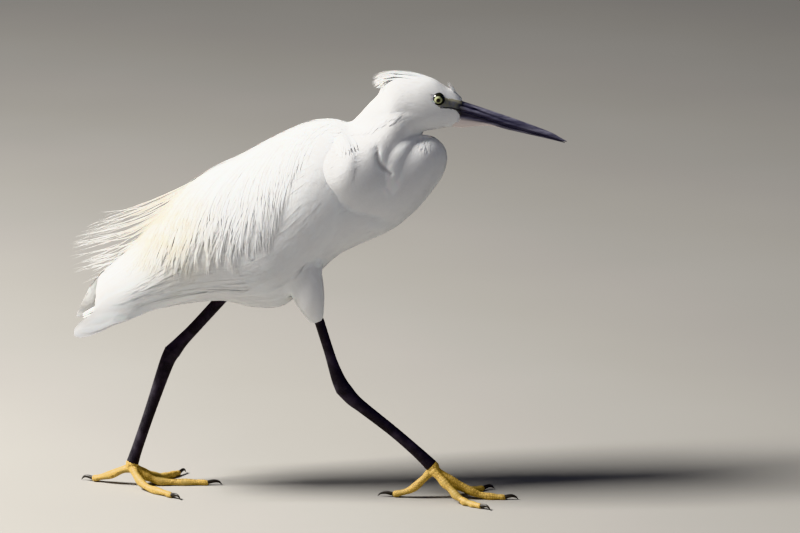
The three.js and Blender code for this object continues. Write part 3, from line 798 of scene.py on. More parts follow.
@dataclass(frozen=True)
class PlumageFinish:
    """White plumage, creamy where the long plumes lie, with painted shade along the fold between neck and
    shoulder.
    """

    name: str = "white_plumage"
    white: Triple = (0.89, 0.885, 0.875)
    cream: Triple = (0.88, 0.8, 0.6)
    shade: Triple = (0.8, 0.79, 0.8)
    # Colour of the painted shade multiplied into the fold between neck and shoulder
    fold: Triple = (0.2, 0.17, 0.17)
    creaminess: float = 0.95
    cream_place: Triple = (-62, 0, 222)
    cream_reach: Triple = (62, 80, 62)
    # Beads, widths and strength of that painted shade
    fold_shade_beads: int = 20
    fold_shade_width: Pair = (1.3, 3.2)
    fold_shade_strength: float = 0.8

    def build(self) -> Material:
        """Makes the material.

        Returns:
            A matt white with a soft creamy patch over the rump and rear wings, and painted shade along the
            neck's fold.
        """
        paint = Paint(self.name, Roughness=0.75, Specular_IOR_Level=0.25, Sheen_Weight=0.15,
                      Subsurface_Weight=0.12, Subsurface_Scale=0.004)
        rear = paint.near(self.cream_place, self.cream_reach)
        streaks = paint.span(paint.noise(90, 3), 0.35, 0.7, 0.45, 1)
        cream = paint.sum("MULTIPLY", paint.sum("MULTIPLY", rear, streaks), self.creaminess)
        tone = paint.blend(cream, self.white, self.cream)
        tuft = paint.span(paint.tag("tone"), 0, 1, 0.0, 0.1)
        tone = paint.blend(tuft, tone, self.shade, "MULTIPLY")
        # Painted shade: soft dark beads along the crease where neck meets shoulder
        fold = 0.0
        for share in np.linspace(0, 1, self.fold_shade_beads):
            x, z = Spline(CREASE).at(share * (len(CREASE) - 1))
            wide = mix(*self.fold_shade_width, math.sin(math.pi * share))
            fold = paint.sum("MAXIMUM", fold, paint.near((float(x), 0, float(z)), (wide, 60, 1.3 * wide)))
        fold = paint.sum("MULTIPLY", fold, self.fold_shade_strength)
        paint.colour(paint.blend(fold, tone, self.fold, "MULTIPLY"))
        self.grain(paint)
        return paint.material

    def grain(self, paint: Paint) -> None:
        """Raises the down's fine grain."""
        paint.bump(paint.noise(1800, 2), 0.05, 0.3)


@dataclass(frozen=True)
class VaneFinish(PlumageFinish):
    """The same white on broad vanes, with their slanting barbs as fine lines."""

    name: str = "white_vanes"

    def grain(self, paint: Paint) -> None:
        """Raises the barbs.

        Args:
            paint: The material.
        """
        along = paint.add("ShaderNodeUVMap", uv_map="Vane").outputs["UV"]
        inputs = {"Vector": along, "Scale": 1.3, "Distortion": 1.2}
        barbs = paint.add("ShaderNodeTexWave", inputs, bands_direction="DIAGONAL").outputs["Fac"]
        paint.bump(barbs, 0.08, 0.26)


@dataclass(frozen=True)
class HornFinish:
    """Horn of the bill or the claws."""

    name: str
    dark: Triple
    light: Triple
    pale: Triple | None = None
    bare: Triple = (0.15, 0.15, 0.135)
    # Colour of the painted shade in the bill's grooves, along its mouth edges and in the nostril slits
    slit: Triple = (0.006, 0.006, 0.009)
    streaks: float = 420
    roughness: float = 0.36

    def build(self) -> Material:
        """Makes the material.

        Returns:
            Satin horn with streaks along it, pale and bare where the mesh says so, and darkened with painted
            shade where it marks grooves.
        """
        paint = Paint(self.name, Specular_IOR_Level=0.45, Coat_Weight=0.15, Coat_Roughness=0.3)
        along = paint.add("ShaderNodeMapping", {"Vector": paint.place(), "Rotation": (0, 0.36, 0),
                                                "Scale": (0.08, 1, 1)}).outputs["Vector"]
        grain = paint.noise(self.streaks, 5, along)
        base = paint.blend(paint.span(grain, 0.35, 0.68), self.dark, self.light)
        if self.pale is not None:
            # The groove mark darkens grooves, mouth edges and nostril slits with painted shade
            for tag, colour in (("bare", self.bare), ("pale", self.pale), ("groove", self.slit)):
                base = paint.blend(paint.tag(tag), base, colour)
        paint.colour(base)
        paint.roughness(paint.span(grain, 0.3, 0.7, self.roughness - 0.08, self.roughness + 0.12))
        paint.bump(grain, 0.12, 0.5)
        return paint.material


@dataclass(frozen=True)
class ScaleFinish:
    """Scaled skin of the legs or the toes."""

    name: str
    ridge: Triple
    groove: Triple
    smudge: Triple
    scale: float = 620
    roughness: float = 0.5

    def build(self) -> Material:
        """Makes the material.

        Returns:
            Satin skin in small scales, darker in the grooves, smudged in large soft patches.
        """
        paint = Paint(self.name, Specular_IOR_Level=0.4)
        cells = paint.add("ShaderNodeTexVoronoi", {"Vector": paint.place(), "Scale": self.scale},
                          feature="DISTANCE_TO_EDGE").outputs["Distance"]
        raised = paint.span(cells, 0.0, 0.16)
        base = paint.blend(raised, self.groove, self.ridge)
        base = paint.blend(paint.span(paint.noise(95, 4), 0.42, 0.68), base, self.smudge)
        base = paint.blend(paint.tag("groove"), base, self.groove)
        paint.colour(base)
        worn = paint.noise(300, 3)
        paint.roughness(paint.span(worn, 0.3, 0.7, self.roughness - 0.1, self.roughness + 0.15))
        paint.bump(raised, 0.1, 0.6)
        return paint.material


@dataclass(frozen=True)
class EyeFinish:
    """A wet eye: round pupil, pale yellow iris and a dark rim."""

    name: str
    side: Side
    pupil: float = 1.6
    iris: float = 3.35
    inner: Triple = (0.24, 0.22, 0.09)
    rays: tuple[Triple, Triple] = ((0.29, 0.31, 0.18), (0.44, 0.47, 0.31))
    rim: Triple = (0.02, 0.02, 0.016)
    black: Triple = (0.004, 0.004, 0.005)

    def build(self) -> Material:
        """Makes the material.

        Returns:
            Rings round the eye's own axis, under a clear gloss.
        """
        paint = Paint(self.name, Roughness=0.2, Specular_IOR_Level=0.4, Coat_Weight=0.5, Coat_Roughness=0.03)
        radius = paint.distance(GAZE * (1, -self.side.value, 1), (1, 0, 1))
        step = lambda low, high: paint.span(radius, low * MM, high * MM)
        iris = paint.blend(paint.noise(900, 4), *self.rays)
        iris = paint.blend(step(self.pupil, self.pupil + 0.7), self.inner, iris)
        ball = paint.blend(step(self.iris - 0.35, self.iris + 0.25), iris, self.rim)
        paint.colour(paint.blend(step(self.pupil - 0.12, self.pupil + 0.12), self.black, ball))
        return paint.material


@dataclass(frozen=True)
class BareSkinFinish:
    """Bare skin of the lores: grey-green, with a yellow upper edge."""

    name: str = "lore_skin"
    green: Triple = (0.27, 0.27, 0.23)
    yellow: Triple = (0.5, 0.47, 0.33)
    blue: Triple = (0.21, 0.215, 0.24)
    dark: Triple = (0.02, 0.02, 0.026)

    def build(self) -> Material:
        """Makes the material.

        Returns:
            Finely wrinkled skin with soft patches.
        """
        paint = Paint(self.name, Roughness=0.5, Specular_IOR_Level=0.4)
        mottled = paint.blend(paint.span(paint.noise(420, 4), 0.4, 0.65), self.green, self.blue)
        edged = paint.blend(paint.tag("rim"), mottled, self.yellow)
        paint.colour(paint.blend(paint.tag("dark"), edged, self.dark))
        stretched = paint.add("ShaderNodeMapping", {"Vector": paint.place(), "Scale": (0.35, 1, 1)})
        paint.bump(paint.noise(1500, 3, stretched.outputs["Vector"]), 0.2, 0.5)
        return paint.material


@dataclass(frozen=True)
class PlainFinish:
    """A plain surface with a little mottling."""

    name: str
    colour: Triple
    roughness: float = 0.5

    def build(self) -> Material:
        """Makes the material.

        Returns:
            The mottled surface.
        """
        paint = Paint(self.name, Roughness=self.roughness, Specular_IOR_Level=0.35)
        darker = tuple(c * 0.7 for c in self.colour)
        paint.colour(paint.blend(paint.span(paint.noise(500, 3), 0.4, 0.7), self.colour, darker))
        paint.bump(paint.noise(1600, 2), 0.08, 0.4)
        return paint.material


@dataclass(frozen=True)
class Cut:
    """A feather's cut from root to tip, as shares of its length, width, thickness and lift."""

    along: tuple[float, ...]
    width: tuple[float, ...]
    depth: tuple[float, ...]
    lift: tuple[float, ...]


TUFT = Cut((0, 0.2, 0.5, 0.8, 1), (0.5, 0.95, 1, 0.72, 0), (0.5, 1, 1, 0.6, 0), (0, 0.5, 0.82, 0.96, 1))
WISP = Cut((0, 0.12, 0.35, 0.6, 0.82, 1), (0.6, 1, 1, 0.8, 0.5, 0), (0.5, 1, 1, 0.8, 0.5, 0),
           (0, 0.5, 0.82, 0.94, 1, 1))
VANE = Cut((0, 0.05, 0.15, 0.3, 0.45, 0.6, 0.73, 0.84, 0.92, 0.97, 1),
           (0.4, 0.7, 0.92, 1, 1, 1, 0.97, 0.88, 0.7, 0.42, 0),
           (0.5, 1, 1, 1, 1, 1, 0.9, 0.8, 0.6, 0.4, 0),
           (0, 0.2, 0.42, 0.62, 0.74, 0.82, 0.88, 0.93, 0.96, 0.98, 1))
LANCE = Cut((0, 0.06, 0.16, 0.28, 0.4, 0.52, 0.64, 0.75, 0.85, 0.93, 1),
            (0.5, 0.85, 1, 1, 1, 0.95, 0.85, 0.68, 0.46, 0.22, 0),
            (0.5, 1, 1, 1, 1, 1, 0.9, 0.8, 0.6, 0.4, 0),
            (0, 0.45, 0.75, 0.9, 0.97, 1, 1, 1, 1, 1, 1))


class Feathers:
    """Feathers gathered as arrays and joined into one closed-vaned mesh."""

    patch = 0.003

    def __init__(self, name: str, seed: int) -> None:
        """Starts an empty piece.

        Args:
            name: Its name.
            seed: The seed of its own draw.
        """
        self.name = name
        self.draw = np.random.default_rng(seed)
        self.stock: dict[str, list[Array]] = {}
        self.total = 0

    def add(self, points: Array, normals: Array, half: Array, thick: Array, cut: Cut, spots: Array,
            columns: int = 3, camber: float = 0.0, roll: float = 0.0, fray: float = 0.0,
            crown: float = 0.05) -> None:
        """Adds a set of feathers that share one cut.

        Args:
            points: Their shafts, one row of points a feather, in mm.
            normals: The outward direction at each of those points.
            half: Half the width of each feather.
            thick: Half the thickness of each.
            cut: Their cut.
            spots: Each root's place on the unwrap.
            columns: Vertices across the upper face.
            camber: How fast the edges bend down, per mm of half width squared.
            roll: Turn of each vane about its shaft, in radians.
            fray: How far the edges wander in, as a share.
            crown: How much each vane's own roundness shows in its shading.
        """
        # Each point but the first and the last gets a ring: its upper face, then back along the lower
        count, rows, _ = points.shape
        half, thick = half[:, None] * np.array(cut.width), thick[:, None] * np.array(cut.depth)
        ahead = unit(np.gradient(points, axis=1))
        side = unit(np.cross(normals, ahead))
        over = unit(np.cross(ahead, side))
        level, lean = math.cos(roll), math.sin(roll)
        side, over = side * level + over * lean, over * level - side * lean
        top = np.linspace(-1, 1, columns)
        across = np.concatenate([top, top[-2:0:-1]])
        face = np.where(np.arange(len(across)) < columns, 1.0, -1.0)
        width = np.where(across < 0, *(self._edge(count, rows, fray)[..., None] for _ in range(2)))
        reach = across * half[..., None] * width
        swell = face * thick[..., None] * (1 - across**2) - camber * reach**2
        ring = points[:, :, None] + side[:, :, None] * reach[..., None] + over[:, :, None] * swell[..., None]
        corners = np.concatenate([points[:, :1], ring[:, 1:-1].reshape(count, -1, 3), points[:, -1:]], axis=1)
        bow = crown * across[:, None] * side[:, 1:-1, None]
        upper, under = (unit(np.concatenate([
            turn * normals[:, :1], (bow + turn * normals[:, 1:-1, None]).reshape(count, -1, 3),
            turn * normals[:, -1:]], axis=1)) for turn in (1, -1))
        # The shading goes by the face: the upper one leans out, the lower one the other way
        faces = self._faces(rows, len(across))
        loops = np.array([i for face in faces for i in face])
        on_top = np.arange(len(loops)) < len(loops) // (2 * columns - 2) * (columns - 1)
        share = np.linspace(0, 1, rows)[1:-1, None]
        local = np.stack(np.broadcast_arrays(across[None] * 0.5 + 0.5, share), axis=-1).reshape(-1, 2)
        local = np.concatenate([[[0.5, 0]], local, [[0.5, 1]]])[loops]
        length = np.linalg.norm(np.diff(points, axis=1), axis=-1).sum(axis=1)
        stretch = np.stack([2 * half.max(axis=1), length], axis=-1)[:, None]
        each = corners.shape[1]
        for key, values in {
            "corners": corners.reshape(-1, 3),
            "loops": (self.total + each * np.arange(count)[:, None] + loops).ravel(),
            "sizes": np.tile([len(face) for face in faces], count),
            "facing": np.where(on_top[:, None], upper[:, loops], under[:, loops]).reshape(-1, 3),
            "OFBake": (spots[:, None] + (local - 0.5) * self.patch).ravel(),
            "Vane": ((local - (0.5, 0)) * stretch).ravel(),
            "tone": np.repeat(self.draw.random(count), each),
        }.items():
            self.stock.setdefault(key, []).append(values)
        self.total += count * each

    def _edge(self, count: int, rows: int, fray: float) -> Array:
        """How far an edge reaches at each row, wandering in towards the tip."""
        grow = np.linspace(0, 1, rows) ** 1.5
        return 1 - fray * grow * self.draw.random((count, rows))

    @staticmethod
    def _faces(rows: int, size: int) -> list[list[int]]:
        """The faces of one feather: a fan at each end and quads between.

        Args:
            rows: Its points from root to tip.
            size: Corners of the ring at each inner point.

        Returns:
            The corners of each face.
        """
        ring = lambda row, k: 1 + row * size + k % size
        tip = 1 + (rows - 2) * size
        faces = []
        for k in range(size):
            faces.append([0, ring(0, k), ring(0, k + 1)])
            for row in range(rows - 3):
                faces.append([ring(row, k), ring(row + 1, k), ring(row + 1, k + 1), ring(row, k + 1)])
            faces.append([ring(rows - 3, k), tip, ring(rows - 3, k + 1)])
        return faces

    def build(self) -> Piece:
        """Joins the feathers.

        Returns:
            The piece, with the bake map, a map along each vane and a tone for each feather.
        """
        stock = {key: np.concatenate(values) for key, values in self.stock.items()}
        sizes = stock["sizes"]
        mesh = bpy.data.meshes.new(self.name)
        mesh.vertices.add(self.total)
        mesh.vertices.foreach_set("co", ((stock["corners"] + SHIFT) * MM).astype(np.float32).ravel())
        mesh.loops.add(len(stock["loops"]))
        mesh.loops.foreach_set("vertex_index", stock["loops"].astype(np.int32))
        mesh.polygons.add(len(sizes))
        mesh.polygons.foreach_set("loop_start", (np.cumsum(sizes) - sizes).astype(np.int32))
        for name in ("OFBake", "Vane"):
            mesh.uv_layers.new(name=name).uv.foreach_set("vector", stock[name].astype(np.float32))
        mark(mesh, tone=stock["tone"])
        mesh.update(calc_edges=True)
        obj = bpy.data.objects.new(self.name, mesh)
        bpy.context.scene.collection.objects.link(obj)
        smooth(obj)
        mesh.normals_split_custom_set(stock["facing"].astype(np.float32))
        return obj

    def dress(self, finish: Material, *nodes: str) -> None:
        """Builds the piece and mounts it as feathers."""
        mount(self.build(), finish, Slot.FEATHER, *nodes)


def wing_angle(u: Array, across: Array | float) -> Array:
    """The angle at a share of the way down the wing, at a rung."""
    return np.radians(mix(profile(WING_TOP, u), profile(WING_FOOT, u), across))


def wing_flare(u: Array, across: Array) -> Array:
    """How many mm the rear of the wing's lower half stands off sideways."""
    rear, low = np.clip((u - 8) / 5.5, 0, 1), np.clip((across - 0.35) / 0.65, 0, 1.15)
    return 10 * rear**2 * (3 - 2 * rear) * low**1.3


def wing_front(across: Array) -> Array:
    """The rung where the wing starts."""
    return 2.15 + 0.25 * across + 1.1 * across**3


# Half the height of a toe, as shares of the way to its claw, and how many pads each toe has
TOE_HEIGHT = ((0, 4), (0.25, 3.5), (0.5, 3.2), (0.8, 2.85), (1, 2.5))
TOE_PADS = {"hallux": 2, "inner": 3, "middle": 4, "outer": 5}


@dataclass
class Leg:
    """One leg: its feathered thigh, black shank and tarsus, yellow foot and four claws."""

    side: Side
    thigh: Rows
    shank: Rows
    tarsus: Rows
    toes: dict[str, tuple[Triple, ...]]
    claws: dict[str, Triple]
    scute: float = 3.1
    scute_rise: float = 0.2
    toe_scute: float = 2.1
    voxel: float = 0.42

    def scaled(self, name: str, stops: Rows) -> Piece:
        """A leg bone's sleeve of skin, with plates down its front.

        Args:
            name: The piece's name.
            stops: The limb's stops.

        Returns:
            The piece.
        """
        limb = Limb(stops, LEFTWARD)
        ends = limb.core(np.array([0.0, limb.last]))
        plates = round(np.linalg.norm(ends[1] - ends[0]) / self.scute)
        rise: list[Array] = []

        def rule(along: Array, angle: Array, wall: Array) -> Array:
            """Raises each plate's lower rim."""
            step = (along * plates) % 1
            facing = np.clip(np.cos(angle - math.pi / 2) * 1.4, 0, 1)
            inset = np.exp(-((step - 0.97) / 0.06) ** 2) + np.exp(-((step + 0.03) / 0.06) ** 2)
            rise.append(inset * facing * wall)
            lift = self.scute_rise * facing * (step**2 - 0.5 - 0.9 * inset)
            u = along * limb.last
            return np.where(wall[:, None] > 0, limb.point(u, angle, lift), limb.core(u))

        obj = tube(name, 24, plates * 6, rule)
        mark(obj.data, groove=0.8 * rise[0])
        return rounded(obj)

    def thigh_limb(self) -> Limb:
        """The limb that the thigh's skin and coat follow."""
        return Limb(self.thigh, LEFTWARD, Strip[f"LEG_{self.side.name}"])

    def toe_limb(self, name: str) -> Limb:
        """The limb that a toe follows, from the heel to its claw."""
        high = profile(TOE_HEIGHT, np.linspace(0, 1, len(self.toes[name])))
        return Limb(tuple((*spot, 0.96 * h, h) for spot, h in zip(self.toes[name], high)), UP)

    def foot(self) -> Piece:
        """The four toes with their plates and pads, grown together at the heel.

        Returns:
            The piece.
        """
        parts = []
        for name in self.toes:
            limb = self.toe_limb(name)
            steps = np.diff(limb.core(np.linspace(0, limb.last, 30)), axis=0)
            plates = round(np.linalg.norm(steps, axis=1).sum() / self.toe_scute)
            pads = TOE_PADS[name]

            def rule(along: Array, angle: Array, wall: Array) -> Array:
                """Swells the pads below and steps the plates above."""
                above = np.clip(np.cos(angle) * 1.6, 0, 1)
                below = np.clip(-np.cos(angle) * 1.4, 0, 1)
                step = (along * plates) % 1
                pad = np.cos(2 * math.pi * along * pads)
                round_end = -1.2 * np.clip((along - 0.93) / 0.07, 0, 1) ** 2
                lift = above * 0.32 * (step - 0.5) + (0.22 + 0.3 * below) * pad - 0.1 + round_end
                u = along * limb.last
                out = np.where(wall[:, None] > 0, limb.point(u, angle, lift), limb.core(u))
                out[:, 2] = np.maximum(out[:, 2], 0.02)
                return out

            parts.append(tube(f"toe_{name}", 20, plates * 5, rule))
        top, above = np.array(self.tarsus[-1][:3]), np.array(self.tarsus[-2][:3])
        down = unit((top - above) * (1, 0, 1))
        rings = ((-1, 5.2, 4.4), (2, 5.2, 4.5), (5, 4, 3.8))
        stops = tuple((*(top + down * far), a, b) for far, a, b in rings)
        parts.append(sleeve("heel", 24, 10, Limb(stops, LEFTWARD)))
        obj = joined(f"foot_{self.side.label}_skin", parts)
        modify(obj, "REMESH", mode="VOXEL", voxel_size=self.voxel * MM)
        modify(obj, "SMOOTH", factor=0.5, iterations=2)
        smooth(obj)
        return obj

    def claw(self, name: str) -> Piece:
        """A hooked claw, sunk into its toe's end.

        Args:
            name: The toe's name.

        Returns:
            The piece.
        """
        root, tip = np.array(self.toes[name][-1]), np.array(self.claws[name])
        start, middle, near = mix(root, tip, -0.12), mix(root, tip, 0.4), mix(root, tip, 0.75)
        stops = ((*start[:2], root[2] + 0.1, 1.6, 1.75), (*middle[:2], root[2] + 1.3, 1.15, 1.45),
                 (*near[:2], root[2] + 0.7, 0.75, 0.95), (*tip[:2], 0.35, 0.14, 0.14))
        return rounded(sleeve(f"claw_{self.side.label}_{name}_horn", 14, 18, Limb(stops, UP)))

    def build(self, black: Material, yellow: Material, horn: Material) -> None:
        """Builds and dresses all but the thigh.

        Args:
            black: Finish of shank and tarsus.
            yellow: Finish of the foot.
            horn: Finish of the claws.
        """
        label = self.side.label
        for bone, stops in (("shank", self.shank), ("tarsus", self.tarsus)):
            mount(self.scaled(f"{bone}_{label}_skin", stops), black, Slot.LEG, f"{bone}_{label}")
        mount(self.foot(), yellow, Slot.TOE, f"foot_{label}")
        for name in self.toes:
            mount(self.claw(name), horn, Slot.CLAW, f"claw_{label}_{name}")


RIGHT_LEG = Leg(
    side=Side.RIGHT,
    thigh=((30, -13, 226, 18, 12), (38, -20, 208, 18, 13), (44, -24.5, 189, 16.5, 12.5),
           (49, -25, 172, 13.5, 11), (53, -23.5, 158.5, 9, 8), (56, -22, 150.2, 5.4, 5)),
    shank=((56.5, -22.3, 153, 4.1, 3.7), (64.6, -21.6, 126.1, 4.1, 3.6), (68.3, -21.2, 113.8, 4.6, 4),
           (72.5, -21, 101.8, 5.7, 4.5), (77, -21, 92.5, 6.6, 5.1)),
    tarsus=((76.3, -21, 94, 6.6, 5.1), (84, -21, 85, 5.8, 4.5), (93, -21, 77.4, 5, 4),
            (117, -20.8, 57.9, 4.5, 3.5), (137, -20.6, 40, 4.7, 3.7), (149.2, -20.5, 28, 5.4, 4.5)),
    toes={
        "hallux": ((150, -20.4, 25), (141, -19.4, 15), (130, -17.6, 6), (117, -15.2, 2.3)),
        "inner": ((150.5, -19, 24.5), (163, -12.6, 13.4), (174.5, -6, 4.6), (183.5, -0.6, 2.3),
                  (192.5, 4.8, 2)),
        "middle": ((150.5, -20.5, 25), (161, -20.8, 18.4), (175, -21.2, 10.4), (188, -22, 4),
                   (200, -22.6, 2.3), (210, -23.2, 2)),
        "outer": ((150.5, -22, 24.5), (162, -30, 13.4), (172.5, -38, 4.6), (181, -44.5, 2.3),
                  (189.5, -51, 2)),
    },
    claws={"hallux": (104.5, -13, 0.35), "inner": (201, 10, 0.35), "middle": (220.5, -24, 0.35),
           "outer": (197, -57, 0.35)},
)
LEFT_LEG = Leg(
    side=Side.LEFT,
    thigh=((14, 26, 200, 15, 12), (0, 25, 185.5, 14, 12), (-11.5, 24, 173, 11, 9.5),
           (-22, 22.2, 162, 6, 5.4)),
    shank=((-20.5, 22.4, 163.5, 4.9, 4.2), (-45, 21, 136.5, 4.8, 4), (-57, 21, 123.7, 5.4, 4.4),
           (-65, 21, 114.4, 6.9, 5.2)),
    tarsus=((-64.5, 21, 115.8, 7, 5.2), (-70.3, 21, 103.8, 6, 4.6), (-83.3, 20.5, 66, 4.7, 3.7),
            (-94.6, 20.1, 33, 4.6, 3.6), (-99, 20, 19.5, 5.2, 4.4)),
    toes={
        "hallux": ((-99, 20, 15.5), (-107, 21.6, 13), (-117, 26, 8), (-126, 30.4, 4.2), (-133, 33.4, 2.5)),
        "inner": ((-98.6, 19, 15.5), (-94, 11, 8.6), (-86, 1, 3.6), (-75, -9, 2.8), (-65, -18.6, 2.3)),
        "middle": ((-98.6, 20, 15.5), (-90, 20, 9.6), (-81, 20.4, 4.8), (-69, 20.8, 2.8), (-52, 21, 2.6),
                   (-36, 21, 2.3)),
        "outer": ((-98.4, 21.4, 15.5), (-88, 27.5, 8.5), (-77, 35, 3.6), (-68, 43.5, 2.8), (-61, 52, 2.3)),
    },
    claws={"hallux": (-142.5, 37.5, 0.35), "inner": (-57.6, -25.5, 0.35), "middle": (-24.6, 21, 0.35),
           "outer": (-56, 60.5, 0.35)},
)


@dataclass
class Skin:
    """One skin under all the plumage: head, neck, body, thighs, wing cores and tail root."""

    depth: float = 2.0
    head_depth: float = 1.3
    voxel: float = 1.35
    crease_depth: float = 0.9
    crease_width: float = 2.2
    soft_spots: Rows = (
        (126, 14, 278, 46), (100, 26, 280, 38), (84, 33, 282, 26), (46, 25, 186, 20), (4, 26, 182, 18))
    throat: Pair = (144, 304)
    stretch_rounds: int = 600
    soft_rounds: int = 50
    fullness: float = 0.02

    def form_tube(self, name: str, form: Form, start: float, end: float, depth: float,
                  front: float | None = None) -> Piece:
        """A tube under a form.

        Args:
            name: The part's name.
            form: The form.
            start: Where on it the tube starts.
            end: Where it ends.
            depth: How far under the form it lies, in mm.
            front: The same at the form's front end, where it differs.

        Returns:
            The tube.
        """
        def rule(along: Array, angle: Array, wall: Array) -> Array:
            """Lays the wall under the form and the lids' centres on its middle line."""
            u = mix(start, end, along)
            under = depth if front is None else mix(front, depth, np.clip(u / 1.6, 0, 1))
            return np.where(wall[:, None] > 0, form.point(u, angle, -under), form.core(u))

        return tube(name, 48, 56, rule)

    def wing_core(self, side: Side) -> Piece:
        """The thin core that the flight feathers grow from.

        Args:
            side: The wing's side.

        Returns:
            The core.
        """
        def rule(along: Array, across: Array, outer: Array) -> Array:
            """Bends the slab over the body's side."""
            u = mix(wing_front(across), profile(WING_END[side], across), along)
            inset = np.clip(np.minimum((along, across), (1 - along, 1 - across)) * 12, 0, 1)
            rim = 1 - inset[0] * inset[1]
            floor = -profile(COVER_DEPTH, u) + 0.6
            top = profile(((2, -2.4), (8, -2.8), (11, -2.6), (14, -2.0)), u)
            lift = mix(mix(floor, top, outer), (floor + top) / 2, 0.8 * rim)
            spots = BODY.point(u, side.value * wing_angle(u, across), lift)
            spots[:, 1] -= side.value * wing_flare(u, across)
            return spots

        return slab(f"core_{side.label}", 30, rule)

    def mantle_core(self) -> Piece:
        """The same between the wings, back to the rump.

        Returns:
            The core.
        """
        def rule(along: Array, across: Array, outer: Array) -> Array:
            """Bends the slab over the back."""
            u = mix(1.95, MANTLE_END, along)
            angle = np.radians(profile(WING_TOP, u)) * (2 * across - 1) * 1.15
            return BODY.point(u, angle, mix(-profile(COVER_DEPTH, u) + 0.6, -2.0, outer))

        return slab("core_mantle", 30, rule)

    def soften(self, skin: Piece) -> None:
        """Flows neck, shoulders and thighs into the body's sides, and leaves the outline alone.

        Args:
            skin: The skin.
        """
        mesh = skin.data
        spots = read(mesh.vertices, "co").astype(float) / MM - SHIFT
        side, out = np.sign(spots[:, 1]), np.abs(spots[:, 1])
        weight = np.zeros(len(out))
        for x, y, z, reach in self.soft_spots:
            off = np.sqrt((spots[:, 0] - x) ** 2 + (out - y) ** 2 + (spots[:, 2] - z) ** 2) / reach
            weight = np.maximum(weight, np.clip(2.2 * (1 - off), 0, 1))
        weight *= np.clip((out - 5) / 8, 0, 1)
        off = np.hypot(spots[:, 0] - self.throat[0], spots[:, 2] - self.throat[1])
        weight *= np.clip((off - 5) / 7, 0, 1)
        edges = read(mesh.edges, "vertices", 2, np.int32)
        edges = edges[weight[edges].max(axis=1) > 0]
        here, there = np.concatenate([edges, edges[:, ::-1]]).T
        count = np.maximum(np.bincount(here, minlength=len(out)), 1)
        for turn in range(self.stretch_rounds + self.soft_rounds):
            pull = np.bincount(here, out[there], len(out)) / count - out
            if turn < self.stretch_rounds:
                pull = np.maximum(pull + self.fullness * (spots[:, 2] > 230), 0)
            out += weight * pull
        spots[:, 1] = side * out
        settle(mesh, spots)

    def fold(self, skin: Piece) -> None:
        """Presses the crease between neck and shoulder into both sides.

        Args:
            skin: The skin.
        """
        outward = read(skin.data.vertex_normals, "vector").astype(float)

        def rule(co: Array) -> Array:
            """Moves the vertices near the crease inwards."""
            spots = co / MM - SHIFT
            line = Spline(CREASE).at(np.linspace(0, len(CREASE) - 1, 24))
            off = np.linalg.norm(spots[:, None, (0, 2)] - line[None], axis=-1).min(axis=1)
            press = self.crease_depth * np.exp(-((off / self.crease_width) ** 2))
            return spots - outward * (press * (np.abs(spots[:, 1]) > 6))[:, None]

        shape(skin, rule)

    def build(self, material: Material) -> Piece:
        """Builds and dresses the skin.

        Args:
            material: The plumage's own white.

        Returns:
            The skin.
        """
        parts = [
            self.form_tube("body", BODY, 0, TORSO_END, self.depth),
            self.form_tube("head", HEAD, 0.1, HEAD.last, self.head_depth, 0.35),
            self.form_tube("web", WEB, 0, WEB.last, 1.0),
            self.form_tube("shawl", SHAWL, 0, SHAWL.last - 0.1, self.depth),
            self.form_tube("neck", NECK, 0, NECK.last, self.depth - 0.4),
            self.form_tube("rump", TAIL, 0, TAIL.last, 1.6),
            self.mantle_core(),
            *(self.wing_core(side) for side in Side),
            *(self.form_tube("wrist", wrist_limb(side), 0, len(WRIST_STOPS) - 1, 1.7) for side in Side),
            *(self.form_tube("thigh", leg.thigh_limb(), 0, len(leg.thigh) - 1.15, 1.4)
              for leg in (RIGHT_LEG, LEFT_LEG)),
        ]
        skin = joined("skin", parts)
        modify(skin, "REMESH", mode="VOXEL", voxel_size=self.voxel * MM)
        modify(skin, "SMOOTH", factor=0.5, iterations=9)
        self.soften(skin)
        self.fold(skin)
        smooth(skin)
        flesh = ("head", "neck_upper", "neck_lower", "torso", "thigh_right", "thigh_left")
        mount(skin, material, Slot.FEATHER, *flesh)
        return skin


